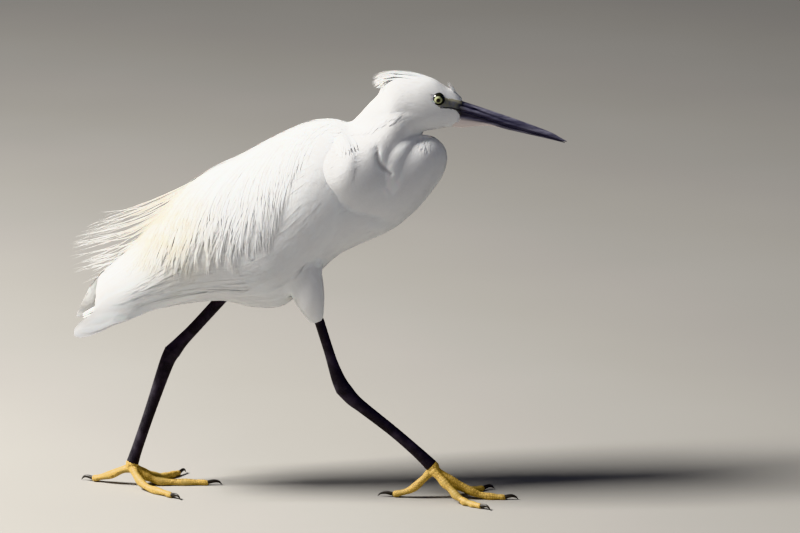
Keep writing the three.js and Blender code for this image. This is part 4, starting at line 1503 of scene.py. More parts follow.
class Ground:
    """The skin as something to lay feathers on."""

    rounds = 8

    def __init__(self, skin: Piece) -> None:
        """Reads the skin.

        Args:
            skin: The finished skin.
        """
        mesh = skin.data
        corners = read(mesh.vertices, "co") / MM - SHIFT
        faces = [tuple(p.vertices) for p in mesh.polygons]
        self.tree = BVHTree.FromPolygons(corners.tolist(), faces)
        soft = read(mesh.vertex_normals, "vector").astype(float)
        edges = read(mesh.edges, "vertices", 2, np.int32)
        here, there = np.concatenate([edges, edges[:, ::-1]]).T
        for _ in range(self.rounds):
            pulled = [np.bincount(here, soft[there, k], len(soft)) for k in range(3)]
            soft = unit(soft + np.stack(pulled, axis=-1))
        self.soft = np.array([soft[list(face)].mean(axis=0) for face in faces])

    def face(self, x: Array, z: Array, side: Side) -> Arrays:
        """Finds the skin's side at given places.

        Args:
            x: Places along the bird, in mm.
            z: Their heights, in mm.
            side: Which of its sides.

        Returns:
            The points on the skin and the outward directions there.
        """
        spots, normals = [], []
        for px, pz in zip(x.tolist(), z.tolist()):
            away = Vector((px, -side.value * 60.0, pz))
            hit, normal, _, _ = self.tree.ray_cast(away, Vector((0, side.value, 0)))
            if hit is None:
                hit, normal, _, _ = self.tree.find_nearest((px, -side.value * 4.0, pz))
            spots.append(tuple(hit))
            normals.append(tuple(normal))
        return np.array(spots), np.array(normals)

    def seat(self, points: Array) -> tuple[Array, Array, Array]:
        """Drops points onto the skin.

        Args:
            points: Places in mm, with the coordinates last.

        Returns:
            The skin under each point, its outward direction, and the point's height over it.
        """
        flat = points.reshape(-1, 3)
        hits = [self.tree.find_nearest(p) for p in flat.tolist()]
        spots = np.array([h[0] for h in hits]).reshape(points.shape)
        normals = unit(self.soft[[h[2] for h in hits]]).reshape(points.shape)
        return spots, normals, np.sum((points - spots) * normals, axis=-1)


@dataclass(frozen=True)
class Field:
    """A field of small feathers over one form.

    Each measure is a pair: its value at the field's start and at its end.
    """

    form: Form
    start: float
    end: float
    pitch: Pair
    stagger: float
    length: Pair
    half: Pair
    lift: Pair = (0.2, 0.3)
    height: float = 2.0
    keep: Bend | None = None
    cut: Cut = TUFT
    thick: float = 0.05
    swell: float = 0.08
    sunk: float = 3.0

    def roots(self, draw: np.random.Generator) -> Arrays:
        """Scatters the roots in staggered rings.

        Args:
            draw: The seeded draw.

        Returns:
            The rung and the angle of each root.
        """
        rungs, angles, u, row = [], [], self.start, 0
        turn = np.linspace(-math.pi, math.pi, 25)[:-1]
        while u < self.end:
            share = (u - self.start) / (self.end - self.start)
            along, around = self.form.rates(np.full(24, u), turn)
            pitch = mix(*self.pitch, share)
            count = max(int(around.mean() * 2 * math.pi / (pitch * self.stagger)), 6)
            turns = (np.arange(count) + 0.5 * (row % 2) + draw.uniform(-0.35, 0.35, count)) / count
            angles.append(-math.pi + 2 * math.pi * turns)
            rungs.append(u + draw.uniform(-0.4, 0.4, count) * pitch / along.mean())
            u += pitch / along.mean()
            row += 1
        return np.clip(np.concatenate(rungs), 0, self.form.last), np.concatenate(angles)

    def grow(self, feathers: Feathers, ground: Ground) -> None:
        """Adds the field's feathers to a piece.

        Args:
            feathers: The piece.
            ground: The skin that they stand on.
        """
        draw = feathers.draw
        u, angle = self.roots(draw)
        root = self.form.skin(u, angle)
        _, _, height = ground.seat(root)
        kept = (height > -self.sunk) & (height < 2.2 * self.height + 1)
        if self.keep is not None:
            kept &= self.keep(u, angle, root)
        u, angle, root, height = u[kept], angle[kept], root[kept], height[kept]
        share = (u - self.start) / (self.end - self.start)
        length = mix(*self.length, share) * draw.uniform(0.8, 1.2, len(u))
        half = mix(*self.half, share) * draw.uniform(0.8, 1.2, len(u))
        lift = mix(*self.lift, share) * draw.uniform(0.6, 1.4, len(u)) + self.swell * drift(root, 9)
        lean = 0.14 * drift(root, 16, 2.0) + draw.normal(0, 0.05, len(u))
        along, around = self.form.rates(u, angle)
        t = np.array(self.cut.along)
        rungs = u[:, None] + t * (length * np.cos(lean) / along)[:, None]
        angles = angle[:, None] + t * (length * np.sin(lean) / np.maximum(around, 4))[:, None]
        beyond = np.maximum(rungs - self.form.last, 0)
        path = self.form.skin(np.minimum(rungs, self.form.last), angles)
        tail = unit(path[:, 1] - path[:, 0])
        path = path + tail[:, None] * (beyond * along[:, None])[..., None]
        spots, normals, _ = ground.seat(path)
        run = np.linalg.norm(np.diff(spots, axis=1), axis=-1)
        calm = run.sum(axis=1) < 1.35 * length
        u, angle, half, lift, height = u[calm], angle[calm], half[calm], lift[calm], height[calm]
        spots, normals = spots[calm], normals[calm]
        stand = np.clip(height, 0.35, self.height)[:, None]
        tip = 0.45 * stand + 0.6 * lift[:, None] * stand / self.height
        rise = 0.1 * stand - 0.15 + tip * np.array(self.cut.lift)
        feathers.add(spots + normals * rise[..., None], normals, half, np.minimum(self.thick, 0.4 * half),
                     self.cut, self.form.spot(u, angle))


def in_lores(points: Array) -> Array:
    """Whether points on the head are on the bare skin before the eye, or on the eye.

    Args:
        points: A row a point.

    Returns:
        True or False for each.
    """
    x, y, z = points[:, 0], np.abs(points[:, 1]), points[:, 2]
    eye = np.hypot(x - EYE[0], z - EYE[2]) < 4.5
    bare = (x > 154.5) & (z < profile(LORE_TOP, x)) & (z > profile(LORE_FOOT, x))
    return (y > 2.0) & (eye | bare)


def under_wing(u: Array, angle: Array) -> Array:
    """Whether roots on the body are covered by a wing.

    Args:
        u: Their rungs.
        angle: Their angles.

    Returns:
        True or False for each.
    """
    low, high = np.radians(profile(WING_TOP, u)), np.radians(profile(WING_FOOT, u))
    across = (np.abs(angle) - low) / (high - low)
    return (across > -0.1) & (across < 0.96) & (u > wing_front(np.clip(across, 0, 1)) + 0.25)


@dataclass
class Coat:
    """The small feathers of head, neck, breast, back, belly, thighs and rump."""

    ground: Ground
    finish: Material

    def piece(self, name: str, seed: int, fields: list[Field]) -> None:
        """Builds and dresses one coat piece.

        Args:
            name: Its name.
            seed: Its seed.
            fields: Its fields.
        """
        feathers = Feathers(name, seed)
        for part in fields:
            part.grow(feathers, self.ground)
        feathers.dress(self.finish)

    def build(self) -> None:
        """Builds all the coat pieces."""
        clear = lambda u, a, p: ~in_lores(p)
        flank = lambda u, a, p: ~under_wing(u, a) & (np.abs(a) > np.radians(profile(WING_TOP, u)) - 0.2)
        back = lambda u, a, p: np.abs(a) < np.radians(profile(WING_TOP, u)) + 0.12
        collar = lambda u, a, p: (p[:, 0] > 73) | (p[:, 2] > 308)
        self.piece("head_coat", 11, [
            Field(HEAD, 0.0, 6.6, (0.85, 1.35), 1.0, (2.6, 8), (0.45, 1.1), (0.02, 0.12), 1.3, clear,
                  thick=0.04, swell=0.03, sunk=0.6),
            Field(HEAD, 1.0, 6.6, (2.0, 2.2), 1.0, (4.5, 9), (0.16, 0.26), (0.12, 0.25), 1.3, clear,
                  thick=0.06, swell=0.03, sunk=0.6),
        ])
        self.piece("neck_coat", 12, [
            Field(HEAD, 6.3, 12, (1.8, 2.3), 0.85, (9, 13), (1.3, 1.9), (0.06, 0.1), 1.6, sunk=9),
            Field(NECK, 0.0, 8, (1.7, 2.5), 0.85, (7, 14), (1.0, 2.2), (0.04, 0.1), 1.6, sunk=9),
            Field(WEB, 0.0, WEB.last - 0.2, (1.7, 2.5), 0.85, (7, 13), (1.0, 2.1), (0.04, 0.1), 1.4, sunk=9),
            Field(SHAWL, 0.1, 4.4, (2.0, 3.0), 0.8, (11, 18), (1.6, 2.8), (0.05, 0.12), 2.0, collar, sunk=9),
            Field(SHAWL, 0.2, 4.4, (3.6, 4.6), 0.8, (12, 22), (0.16, 0.26), (0.1, 0.3), 2.0, collar, WISP),
            Field(HEAD, 6.3, 12, (3.4, 3.6), 0.9, (10, 15), (0.16, 0.24), (0.1, 0.25), 1.6, cut=WISP),
            Field(NECK, 0.6, 8, (3.4, 3.6), 0.9, (8, 15), (0.16, 0.24), (0.1, 0.25), 1.6, cut=WISP),
        ])
        self.piece("wrist_coat", 17, [
            field for limb in (wrist_limb(side) for side in Side) for field in (
                Field(limb, 0.0, 4.6, (2.4, 1.6), 0.8, (16, 8), (2.2, 1.2), (0.05, 0.1), 1.8),
                Field(limb, 0.2, 4.8, (2.8, 1.5), 0.7, (17, 11), (0.2, 0.26), (0.15, 0.3), 1.8, cut=WISP))
        ])
        self.piece("body_coat", 13, [
            Field(BODY, 0.3, TORSO_END, (2.7, 3.4), 0.8, (15, 20), (2.2, 3.1), (0.06, 0.14), 2.0, flank,
                  sunk=9),
            Field(BODY, 0.3, TORSO_END, (4.2, 5.0), 0.8, (16, 24), (0.18, 0.28), (0.12, 0.35), 2.0, flank,
                  WISP),
        ])
        rear = MANTLE_END - 0.4
        self.piece("back_coat", 14, [
            Field(BODY, 1.6, rear, (2.8, 3.6), 0.8, (15, 24), (2.1, 3.0), (0.05, 0.2), 2.0, back),
            Field(BODY, 1.6, rear, (4.0, 4.5), 0.7, (18, 34), (0.25, 0.4), (0.2, 0.5), 2.0, back, WISP),
        ])
        self.piece("thigh_coat", 15, [
            Field(leg.thigh_limb(), 0.1, len(leg.thigh) - 1.2, (2.2, 1.4), 0.8, (11, 6.5), (1.7, 0.8),
                  (0.08, 0.04), 1.4, lambda u, a, p: p[:, 2] < 212, sunk=6)
            for leg in (RIGHT_LEG, LEFT_LEG)
        ])
        self.piece("rump_coat", 16, [
            Field(TAIL, 0.0, 3.9, (2.6, 3.0), 0.8, (14, 19), (1.9, 2.6), (0.3, 0.5), 1.6),
        ])


@dataclass
class Crest:
    """The shaggy nape feathers and the small raised tuft on the forehead."""

    finish: Material
    count: int = 72
    locks: int = 8
    tip_x: Pairs = (
        (0, 103.5), (0.15, 100.6), (0.35, 99.3), (0.55, 99.8), (0.7, 100.2), (0.85, 103.8), (1, 106))
    tip_z: Pairs = (
        (0, 351.9), (0.15, 350.2), (0.35, 348.4), (0.55, 345.6), (0.7, 342.8), (0.85, 340.4), (1, 337.6))

    leave: float = 0.1

    def build(self) -> None:
        """Builds both and dresses them."""
        feathers = Feathers("crest", 21)
        draw = feathers.draw
        lock = np.arange(self.count) % self.locks
        high = (lock + 0.5) / self.locks + draw.normal(0, 0.018, self.count)
        aside = draw.uniform(-1, 1, self.count)
        root_u = mix(3.6, 6.6, high) + draw.uniform(-0.5, 0.5, self.count)
        root_a = np.radians(33) * aside
        root = HEAD.point(root_u, root_a, -0.9)
        tip = np.stack([profile(self.tip_x, high), -8 * aside, profile(self.tip_z, high)], axis=-1)
        tip += draw.normal(0, 0.35, tip.shape) * (1, 0.5, 1)
        tip += draw.uniform(0, 3.5, self.count)[:, None] * (1, 0, 0.5)
        span = np.linalg.norm(tip - root, axis=1)[:, None]
        back = unit(HEAD.skin(root_u + 0.2, root_a) - HEAD.skin(root_u - 0.2, root_a))
        fall = unit(np.stack([np.full(self.count, -1.0), -0.2 * aside, mix(-0.42, -0.62, high)], axis=-1))
        points = curve(root, root + back * span * 0.4, tip - fall * span * 0.35, tip, np.array(WISP.along))
        out = np.broadcast_to(HEAD.normal(root_u, root_a)[:, None], points.shape)
        half = draw.uniform(0.4, 0.7, self.count)
        feathers.add(points, out, half, 0.35 * half, WISP, HEAD.spot(root_u, root_a), crown=0.3)
        self.forelock(feathers)
        feathers.dress(self.finish)

    def forelock(self, feathers: Feathers) -> None:
        """Lays the forehead's strands, which hug the head and then leave it.

        Args:
            feathers: The piece.
        """
        draw, count = feathers.draw, self.count // 5
        root = draw.uniform(0.75, 1.1, count)
        angle = np.radians(draw.uniform(-18, 18, count))
        tip = root + draw.uniform(0.9, 1.25, count)
        lift = draw.uniform(2.8, 4.2, count)
        half = draw.uniform(0.4, 0.65, count)
        t = np.array(WISP.along)
        rungs = mix(root[:, None], tip[:, None], t)
        angles = angle[:, None] * (1 - 0.3 * t)
        free = np.clip((t - self.leave) / (1 - self.leave), 0, 1) ** 1.25
        points = HEAD.point(rungs, angles, np.minimum(-1.2 + 5 * t, -0.2) + lift[:, None] * free)
        feathers.add(points, HEAD.normal(rungs, angles), half, 0.3 * half, WISP, HEAD.spot(root, angle),
                     crown=0.5)


@dataclass
class Mantle:
    """Long shoulder feathers that hang over the wings, and the fine strands among them."""

    finish: Material
    vanes: int = 80
    strands: int = 80
    locks: int = 17
    ridge: float = 0.32
    reach: Pair = (4.6, 12.2)
    tips: Pairs = (
        (4.6, 86), (5.2, 96), (6.4, 110), (7.8, 119), (9.2, 118), (10.6, 100), (12.2, 72))

    def sheet(self, feathers: Feathers, side: Side, count: int, start: float, reach: float, half: Pair,
              lift: float, **options: object) -> None:
        """Lays a layer of feathers that run back along the body and then turn down over a wing.

        Args:
            feathers: The piece.
            side: The wing's side.
            count: How many.
            start: Angle of the roots, in degrees from the back.
            reach: How far they go towards the line of the longest tips.
            half: Least and greatest half width.
            lift: Height over the body's outline.
            options: Passed on to the piece.
        """
        draw = feathers.draw
        share = (np.arange(count) + draw.uniform(0, 1, count)) / count
        lock = (share * self.locks).astype(int)
        middle = (lock + 0.5) / self.locks
        luck = np.random.default_rng(70 + side.value).random((2, self.locks))[:, lock]
        far = mix(*self.reach, mix(share, middle, 0.6))
        root = mix(*self.reach, share) - mix(2.9, 5.4, np.clip(2.5 * share, 0, 1))
        root = root + draw.uniform(-0.2, 0.2, count)
        first = start + draw.uniform(-3, 3, count)
        go = reach * draw.uniform(0.93, 1.03, count) * mix(0.86, 1.04, luck[0])
        last = mix(first, profile(self.tips, far), go)
        half = draw.uniform(*half, count)
        lift = lift + 0.45 * luck[1] + draw.uniform(-0.1, 0.1, count) - 1.7 * np.clip(1 - 5 * share, 0, 1)
        bow = mix(1.1, 1.6, np.clip(3 * share, 0, 1))[:, None]
        ridge = self.ridge * ((share - middle) * self.locks * 2)[:, None]
        t = np.array(LANCE.along)
        rungs = mix(root[:, None], mix(root, far, go)[:, None], 1 - (1 - t) ** bow)
        turned = side.value * np.radians(mix(first[:, None], last[:, None], t ** (0.9 + 0.25 * bow)))
        rise = -2.4 + (lift + 2.4)[:, None] * np.array(LANCE.lift)
        sway = 0.35 * drift(BODY.skin(rungs, turned), 22, 5.0)
        rearward = unit(BODY.skin(rungs + 0.1, turned) - BODY.skin(rungs - 0.1, turned))
        normals = unit(BODY.normal(rungs, turned) + (ridge * t)[..., None] * rearward)
        feathers.add(BODY.point(rungs, turned, rise + sway * t), normals, half, np.minimum(0.12, 0.4 * half),
                     LANCE, BODY.spot(root, side.value * np.radians(first)), **options)

    def build(self) -> None:
        """Builds one piece a side."""
        for side in Side:
            feathers = Feathers(f"scapulars_{side.label}", 31 + side.value)
            for start, reach, lift in ((24, 0.97, -1.0), (20, 0.88, -0.8), (15, 0.74, -0.5), (9, 0.58, -0.3)):
                self.sheet(feathers, side, self.vanes, start, reach, (2.4, 3.4), lift,
                           columns=5, camber=0.003, fray=0.4, crown=0.06)
            for start, reach, lift in ((24, 1.0, -0.5), (18, 0.85, -0.2), (10, 0.65, 0.1)):
                self.sheet(feathers, side, self.strands, start, reach, (0.2, 0.42), lift, crown=0.2)
            feathers.dress(self.finish, *(("mantle",) if side is Side.RIGHT else ()))


@dataclass
class Wing:
    """One folded wing: lesser, median and greater coverts, secondaries and primaries.

    Each row of coverts is its count, the rungs of its roots from the lower end to the upper one, the
    same of its tips, half its feathers' width, and the height of their tips.
    """

    side: Side
    finish: Material
    thick: float = 0.07
    lesser_rows: int = 20
    lessers: int = 26
    coverts: tuple[tuple[int, Pair, Pair, float, float], ...] = (
        (26, (4.9, 5.2), (6.9, 7.6), 4.6, -1.2), (24, (5.8, 6.8), (8.4, 9.8), 5.0, -1.4))
    secondaries: int = 16
    primaries: int = 9
    tertials: int = 12
    strands: int = 260

    def lay(self, feathers: Feathers, start: Arrays, end: Arrays,
            half: Array | float, lifts: Pair, cut: Cut, **options: object) -> None:
        """Lays feathers from one rung and share down the wing to another.

        Args:
            feathers: The piece.
            start: Rung and share of each root.
            end: Rung and share of each tip.
            half: Half width.
            lifts: Height of root and tip over the body's outline.
            cut: Their cut.
            options: Passed on to the piece.
        """
        t = np.array(cut.along)
        rungs, across = (mix(a[:, None], b[:, None], t) for a, b in zip(start, end))
        angles = self.side.value * wing_angle(rungs, across)
        count = len(start[0])
        rise = mix(*lifts, np.array(cut.lift)) + feathers.draw.uniform(-0.04, 0.04, count)[:, None]
        flare = wing_flare(rungs, across)
        points = BODY.point(rungs, angles, rise)
        points[..., 1] -= self.side.value * flare
        outward = unit(np.array([0.0, -self.side.value, 0.35]))
        normals = unit(mix(BODY.normal(rungs, angles), outward, 0.8 * np.clip(flare / 10, 0, 1)[..., None]))
        feathers.add(points, normals, np.broadcast_to(half, (count,)), np.full(count, self.thick), cut,
                     BODY.spot(start[0], angles[:, 0]),
                     **{"columns": 5, "camber": 0.003, "roll": self.side.value * 0.012, **options})

    def build(self) -> None:
        """Builds and dresses the wing."""
        feathers = Feathers(f"wing_{self.side.label}_feathers", 41 + self.side.value)
        self.cover(feathers)
        self.fly(feathers)
        self.strew(feathers)
        feathers.dress(self.finish, f"wing_{self.side.label}")

    def cover(self, feathers: Feathers) -> None:
        """Lays the lesser coverts in staggered rows, and the two rows of long coverts.

        Args:
            feathers: The piece.
        """
        draw, count = feathers.draw, self.lessers
        for row in range(self.lesser_rows):
            place = np.arange(count) + 0.5 * (row % 2) + draw.uniform(-0.2, 0.2, count)
            across = mix(0.02, 0.96, place / count)
            front = wing_front(across) + 0.02 + 0.17 * row + draw.uniform(-0.04, 0.04, count)
            reach = draw.uniform(0.6, 0.8, count)
            low = across + draw.uniform(0, 0.03, count)
            self.lay(feathers, (front, across), (front + reach, low), 3.0, (-2.9, -1.0 - 0.008 * row), LANCE,
                     fray=0.3, roll=0.0, camber=0.0)
        for count, roots, tips, half, lift in self.coverts:
            s = np.linspace(0, 1, count)
            across = mix(0.94, 0.05, s)
            self.lay(feathers, (mix(*roots, s), across), (mix(*tips, s), np.minimum(across + 0.02, 0.97)),
                     half, (-3.0, lift), VANE, fray=0.3)

    def fly(self, feathers: Feathers) -> None:
        """Lays the secondaries, the primaries' tips beyond them and the tertials on top.

        Args:
            feathers: The piece.
        """
        reach = lambda across: profile(TIP_LINE[self.side], across)
        s = np.linspace(0, 1, self.secondaries)
        across = mix(0.95, 0.04, s)
        tip = reach(across) - feathers.draw.uniform(0, 0.2, self.secondaries)
        self.lay(feathers, (mix(7.4, 8.8, s), across), (tip, mix(across, 1.06, 0.45 * across**3)),
                 mix(6, 7.5, s), (-3.0, -1.7), VANE, fray=0.2)
        s = np.linspace(0, 1, self.primaries)
        self.lay(feathers, (mix(9.4, 10.2, s), mix(0.97, 0.7, s) - 0.03),
                 (reach(mix(0.97, 0.8, s)) + 0.35, mix(1.1, 0.84, s)), 5.2, (-3.1, -2.0), VANE, fray=0.15)
        s = np.linspace(0, 1, self.tertials)
        low = mix(0.6, 0.0, s)
        self.lay(feathers, (mix(8.6, 9.6, s), mix(0.52, -0.1, s)), (reach(low) - 0.1, low), mix(7, 5.5, s),
                 (-1.9, -0.9), VANE, fray=0.35)

    def strew(self, feathers: Feathers) -> None:
        """Lays fine strands over all of the wing.

        Args:
            feathers: The piece.
        """
        draw, count = feathers.draw, self.strands
        start = draw.uniform(0, 1, count) ** 0.8
        across = draw.uniform(0.05, 0.96, count)
        front = mix(wing_front(across) + 0.2, 11.2, start)
        tip = (front + draw.uniform(1.1, 2.0, count), across + draw.uniform(-0.03, 0.03, count))
        self.lay(feathers, (front, across), tip, draw.uniform(0.18, 0.3, count), (-2.4, -0.85), LANCE,
                 columns=3, camber=0.0, crown=0.15)


@dataclass
class Tail:
    """Twelve tail feathers, the middle pair on top."""

    finish: Material
    count: int = 12
    layer: float = 0.3
    slope: Triple = (-0.465, 0, 0.885)
    half: float = 5.2
    thick: float = 0.25

    def build(self) -> None:
        """Builds and dresses the tail."""
        feathers = Feathers("tail_feathers", 51)
        slope = np.array(self.slope)
        t = np.array(VANE.along)
        for i in range(self.count):
            out = (1 if i % 2 else -1) * (i // 2 + 0.5) / 5.5
            sunk = slope * -self.layer * i
            root = np.array([-100, -3 * out, 171.5 - 1.5 * out]) + sunk
            tip = np.array([-138 + 4 * out * out, -11.5 * out, 151 - 3 * out]) + sunk
            points = mix(root, tip, t[:, None])[None]
            feathers.add(points, np.broadcast_to(slope, points.shape), np.array([self.half]),
                         np.array([self.thick]), VANE,
                         TAIL.spot(np.array([3.0]), np.array([out * 0.5])), 5, fray=0.12)
        feathers.dress(self.finish, "tail")


@dataclass
class Aigrettes:
    """The loose breeding plumes that leave the back and curve free over the tail."""

    finish: Material
    count: int = 48
    steps: int = 18
    half: float = 0.22
    thick: float = 0.16
    barbs: int = 3
    barb_half: float = 0.075
    rear: float = -151
    tips: tuple[Triple, ...] = (
        (0, -131, 183), (0.2, -139, 191), (0.42, -143, 200), (0.6, -149, 211), (0.8, -138, 221),
        (1, -124, 236))

    def build(self) -> None:
        """Builds and dresses the plumes."""
        feathers = Feathers("aigrettes", 61)
        draw = feathers.draw
        count = self.count
        high = (np.arange(count) + draw.uniform(0, 1, count)) / count
        places, xs, zs = zip(*self.tips)
        side = draw.uniform(-1, 1, count)
        x = np.interp(high, places, xs) + draw.uniform(0, 14, count) * draw.random(count)
        z = np.interp(high, places, zs) + draw.uniform(-3, 3, count)
        tip = np.stack([x, side * mix(17, 9, high), z], axis=-1)
        root_u = mix(11.3, 7.2, high) + draw.uniform(-0.5, 0.5, count)
        root_a = np.radians(side * 22 + draw.uniform(-5, 5, count))
        root = BODY.point(root_u, root_a, -1.6)
        back = unit(BODY.skin(root_u + 0.3, root_a) - BODY.skin(root_u - 0.3, root_a))
        out = BODY.normal(root_u, root_a)
        span = np.linalg.norm(tip - root, axis=1)[:, None]
        first = root + (back * 0.4 + out * draw.uniform(0.02, 0.07, (count, 1))) * span
        fall = unit(np.stack([np.full(count, -1.0), 0.2 * side, draw.uniform(-0.42, -0.08, count)], axis=-1))
        t = np.linspace(0, 1, self.steps)
        points = curve(root, first, tip - fall * span * 0.36, tip, t)
        taper = tuple(np.interp(t, (0, 0.1, 0.6, 1), (0.5, 1, 0.8, 0)))
        spots = BODY.spot(root_u, root_a)
        feathers.add(points, np.broadcast_to(out[:, None], points.shape), np.full(count, self.half),
                     np.full(count, self.thick), Cut(tuple(t), taper, taper, tuple(t)), spots, crown=0.5)
        self.add_barbs(feathers, points, spots)
        feathers.dress(self.finish)

    def add_barbs(self, feathers: Feathers, shafts: Array, spots: Array) -> None:
        """Sets long loose barbs along both sides of each shaft.

        Args:
            feathers: The piece.
            shafts: The plumes' shafts.
            spots: Their places on the unwrap.
        """
        draw = feathers.draw
        count = len(shafts) * self.barbs
        which = np.repeat(np.arange(len(shafts)), self.barbs)
        at = draw.uniform(6, 15.5, count)
        i = at.astype(int)
        start = mix(shafts[which, i], shafts[which, i + 1], (at - i)[:, None])
        ahead = unit(shafts[which, i + 1] - shafts[which, i])
        aside = unit(np.cross(ahead, draw.normal(0, 1, (count, 3))))
        length = draw.uniform(7, 17, count)[:, None, None]
        t = np.array(WISP.along)[:, None]
        points = start[:, None] + ahead[:, None] * length * t
        points = points + aside[:, None] * (length * 0.09 * t * (2 - t)) - UP * (length * 0.05 * t**2)
        points[..., 0] = np.maximum(points[..., 0], self.rear)
        normals = np.broadcast_to(unit(np.cross(ahead, aside))[:, None], points.shape)
        half = np.full(count, self.barb_half)
        feathers.add(points, normals, half, 0.7 * half, WISP, spots[which], crown=0.8)


@dataclass
class Bill:
    """The dagger bill: two halves with their grooves, and the nostril slits."""

    upper: Rows = (
        (165.0, 333.4, 326.5, 7.2), (174.0, 330.2, 322.9, 6.75), (184.5, 326.8, 319.5, 5.6),
        (197, 322.5, 315, 4.8), (213, 317, 309.5, 3.9), (229.5, 311, 305, 3), (246, 304.5, 300, 2),
        (254, 300, 297.5, 1.2), (259, 297.1, 296.4, 0.5))
    lower: Rows = (
        (165.0, 309.2, 326.5, 7.2), (174.0, 308.5, 322.9, 6.6), (184.5, 309.5, 319.5, 5.4),
        (197, 309.8, 315, 4.6), (213, 306.2, 309.5, 3.7), (229.5, 302.4, 305, 2.8), (246, 298.5, 300, 1.8),
        (254, 296.5, 297.5, 1.1), (257.5, 295.6, 296.4, 0.4))
    gap: float = 0.22
    nostril: Pair = (184, 325)
    nostril_half: Pair = (2.6, 0.42)
    nostril_tilt: float = 25

    def slit(self, x: Array, z: Array) -> Array:
        """How much spots on the upper half lie in the nostril slit.

        Args:
            x: Their places along the bird.
            z: Their heights.

        Returns:
            A number from 0 to 1 for each.
        """
        lean = math.radians(self.nostril_tilt)
        off, rise = x - self.nostril[0], z - self.nostril[1]
        along = (off * math.cos(lean) - rise * math.sin(lean)) / self.nostril_half[0]
        across = (off * math.sin(lean) + rise * math.cos(lean)) / self.nostril_half[1]
        return np.exp(-(along**4) - across**2)

    def half_bill(self, name: str, stops: Rows, away: int) -> Piece:
        """One half of the bill.

        Args:
            name: The piece's name.
            stops: Rows of x, outer z, mouth z and half width.
            away: 1 for the upper half and -1 for the lower one.

        Returns:
            The piece, with its pale and bare places marked, and its grooves, mouth edge and nostril slit
            marked for painted shade.
        """
        line = Spline(stops)
        marks: dict[str, Array] = {}

        def rule(along: Array, angle: Array, wall: Array) -> Array:
            """Rounds the outside, flattens the mouth side and presses in the grooves."""
            row = line.at(along * line.last)
            x, outer, mouth, half = row.T
            up = np.clip(np.cos(angle), 0, 1)
            base = mouth + away * self.gap
            rise = np.where(wall > 0, up ** 0.85, 0.35)
            bearing = np.abs(np.degrees(angle))
            middle = np.interp(x, (165, 176, 215), (50, 50, 62)) if away > 0 else 58
            groove = np.exp(-((bearing - middle) / 7) ** 2) * wall
            deep = groove * np.interp(x, (168, 175, 196, 222, 240), (0, 1, 0.9, 0.4, 0))
            edge = np.exp(-((bearing - 86) / 6) ** 2) * wall
            height = base + (outer - base) * rise * (1 - 0.05 * deep)
            slit = self.slit(x, height) * wall * (away > 0)
            narrow = 1 - (0.17 if away > 0 else 0.08) * deep - 0.06 * edge - 0.07 * slit
            wide = np.sign(np.sin(angle)) * wall * np.abs(np.sin(angle)) ** 0.88
            chin = np.interp(x, (176, 196, 214), (0.62, 0.5, 0.05))
            pale = np.clip((rise - 1 + chin) / 0.18, 0, 1) * np.interp(x, (200, 214), (1, 0))
            marks["pale"] = pale * (away < 0)
            # Painted shade: the nasal groove, the mouth edge and the nostril slit are marked for darkening
            marks["groove"] = np.clip(0.95 * deep * (away > 0) + edge + slit, 0, 1)
            marks["bare"] = np.interp(x, (169, 177), (1, 0)) * (1 if away > 0 else 0.4)
            return np.stack([x, -wide * half * narrow, height], axis=-1)

        obj = tube(name, 48, 72, rule)
        mark(obj.data, **marks)
        return rounded(obj)

    def build(self, horn: Material) -> None:
        """Builds and dresses both halves."""
        mount(self.half_bill("bill_upper_horn", self.upper, 1), horn, Slot.BILL, "bill_upper")
        mount(self.half_bill("bill_lower_horn", self.lower, -1), horn, Slot.BILL, "bill_lower")


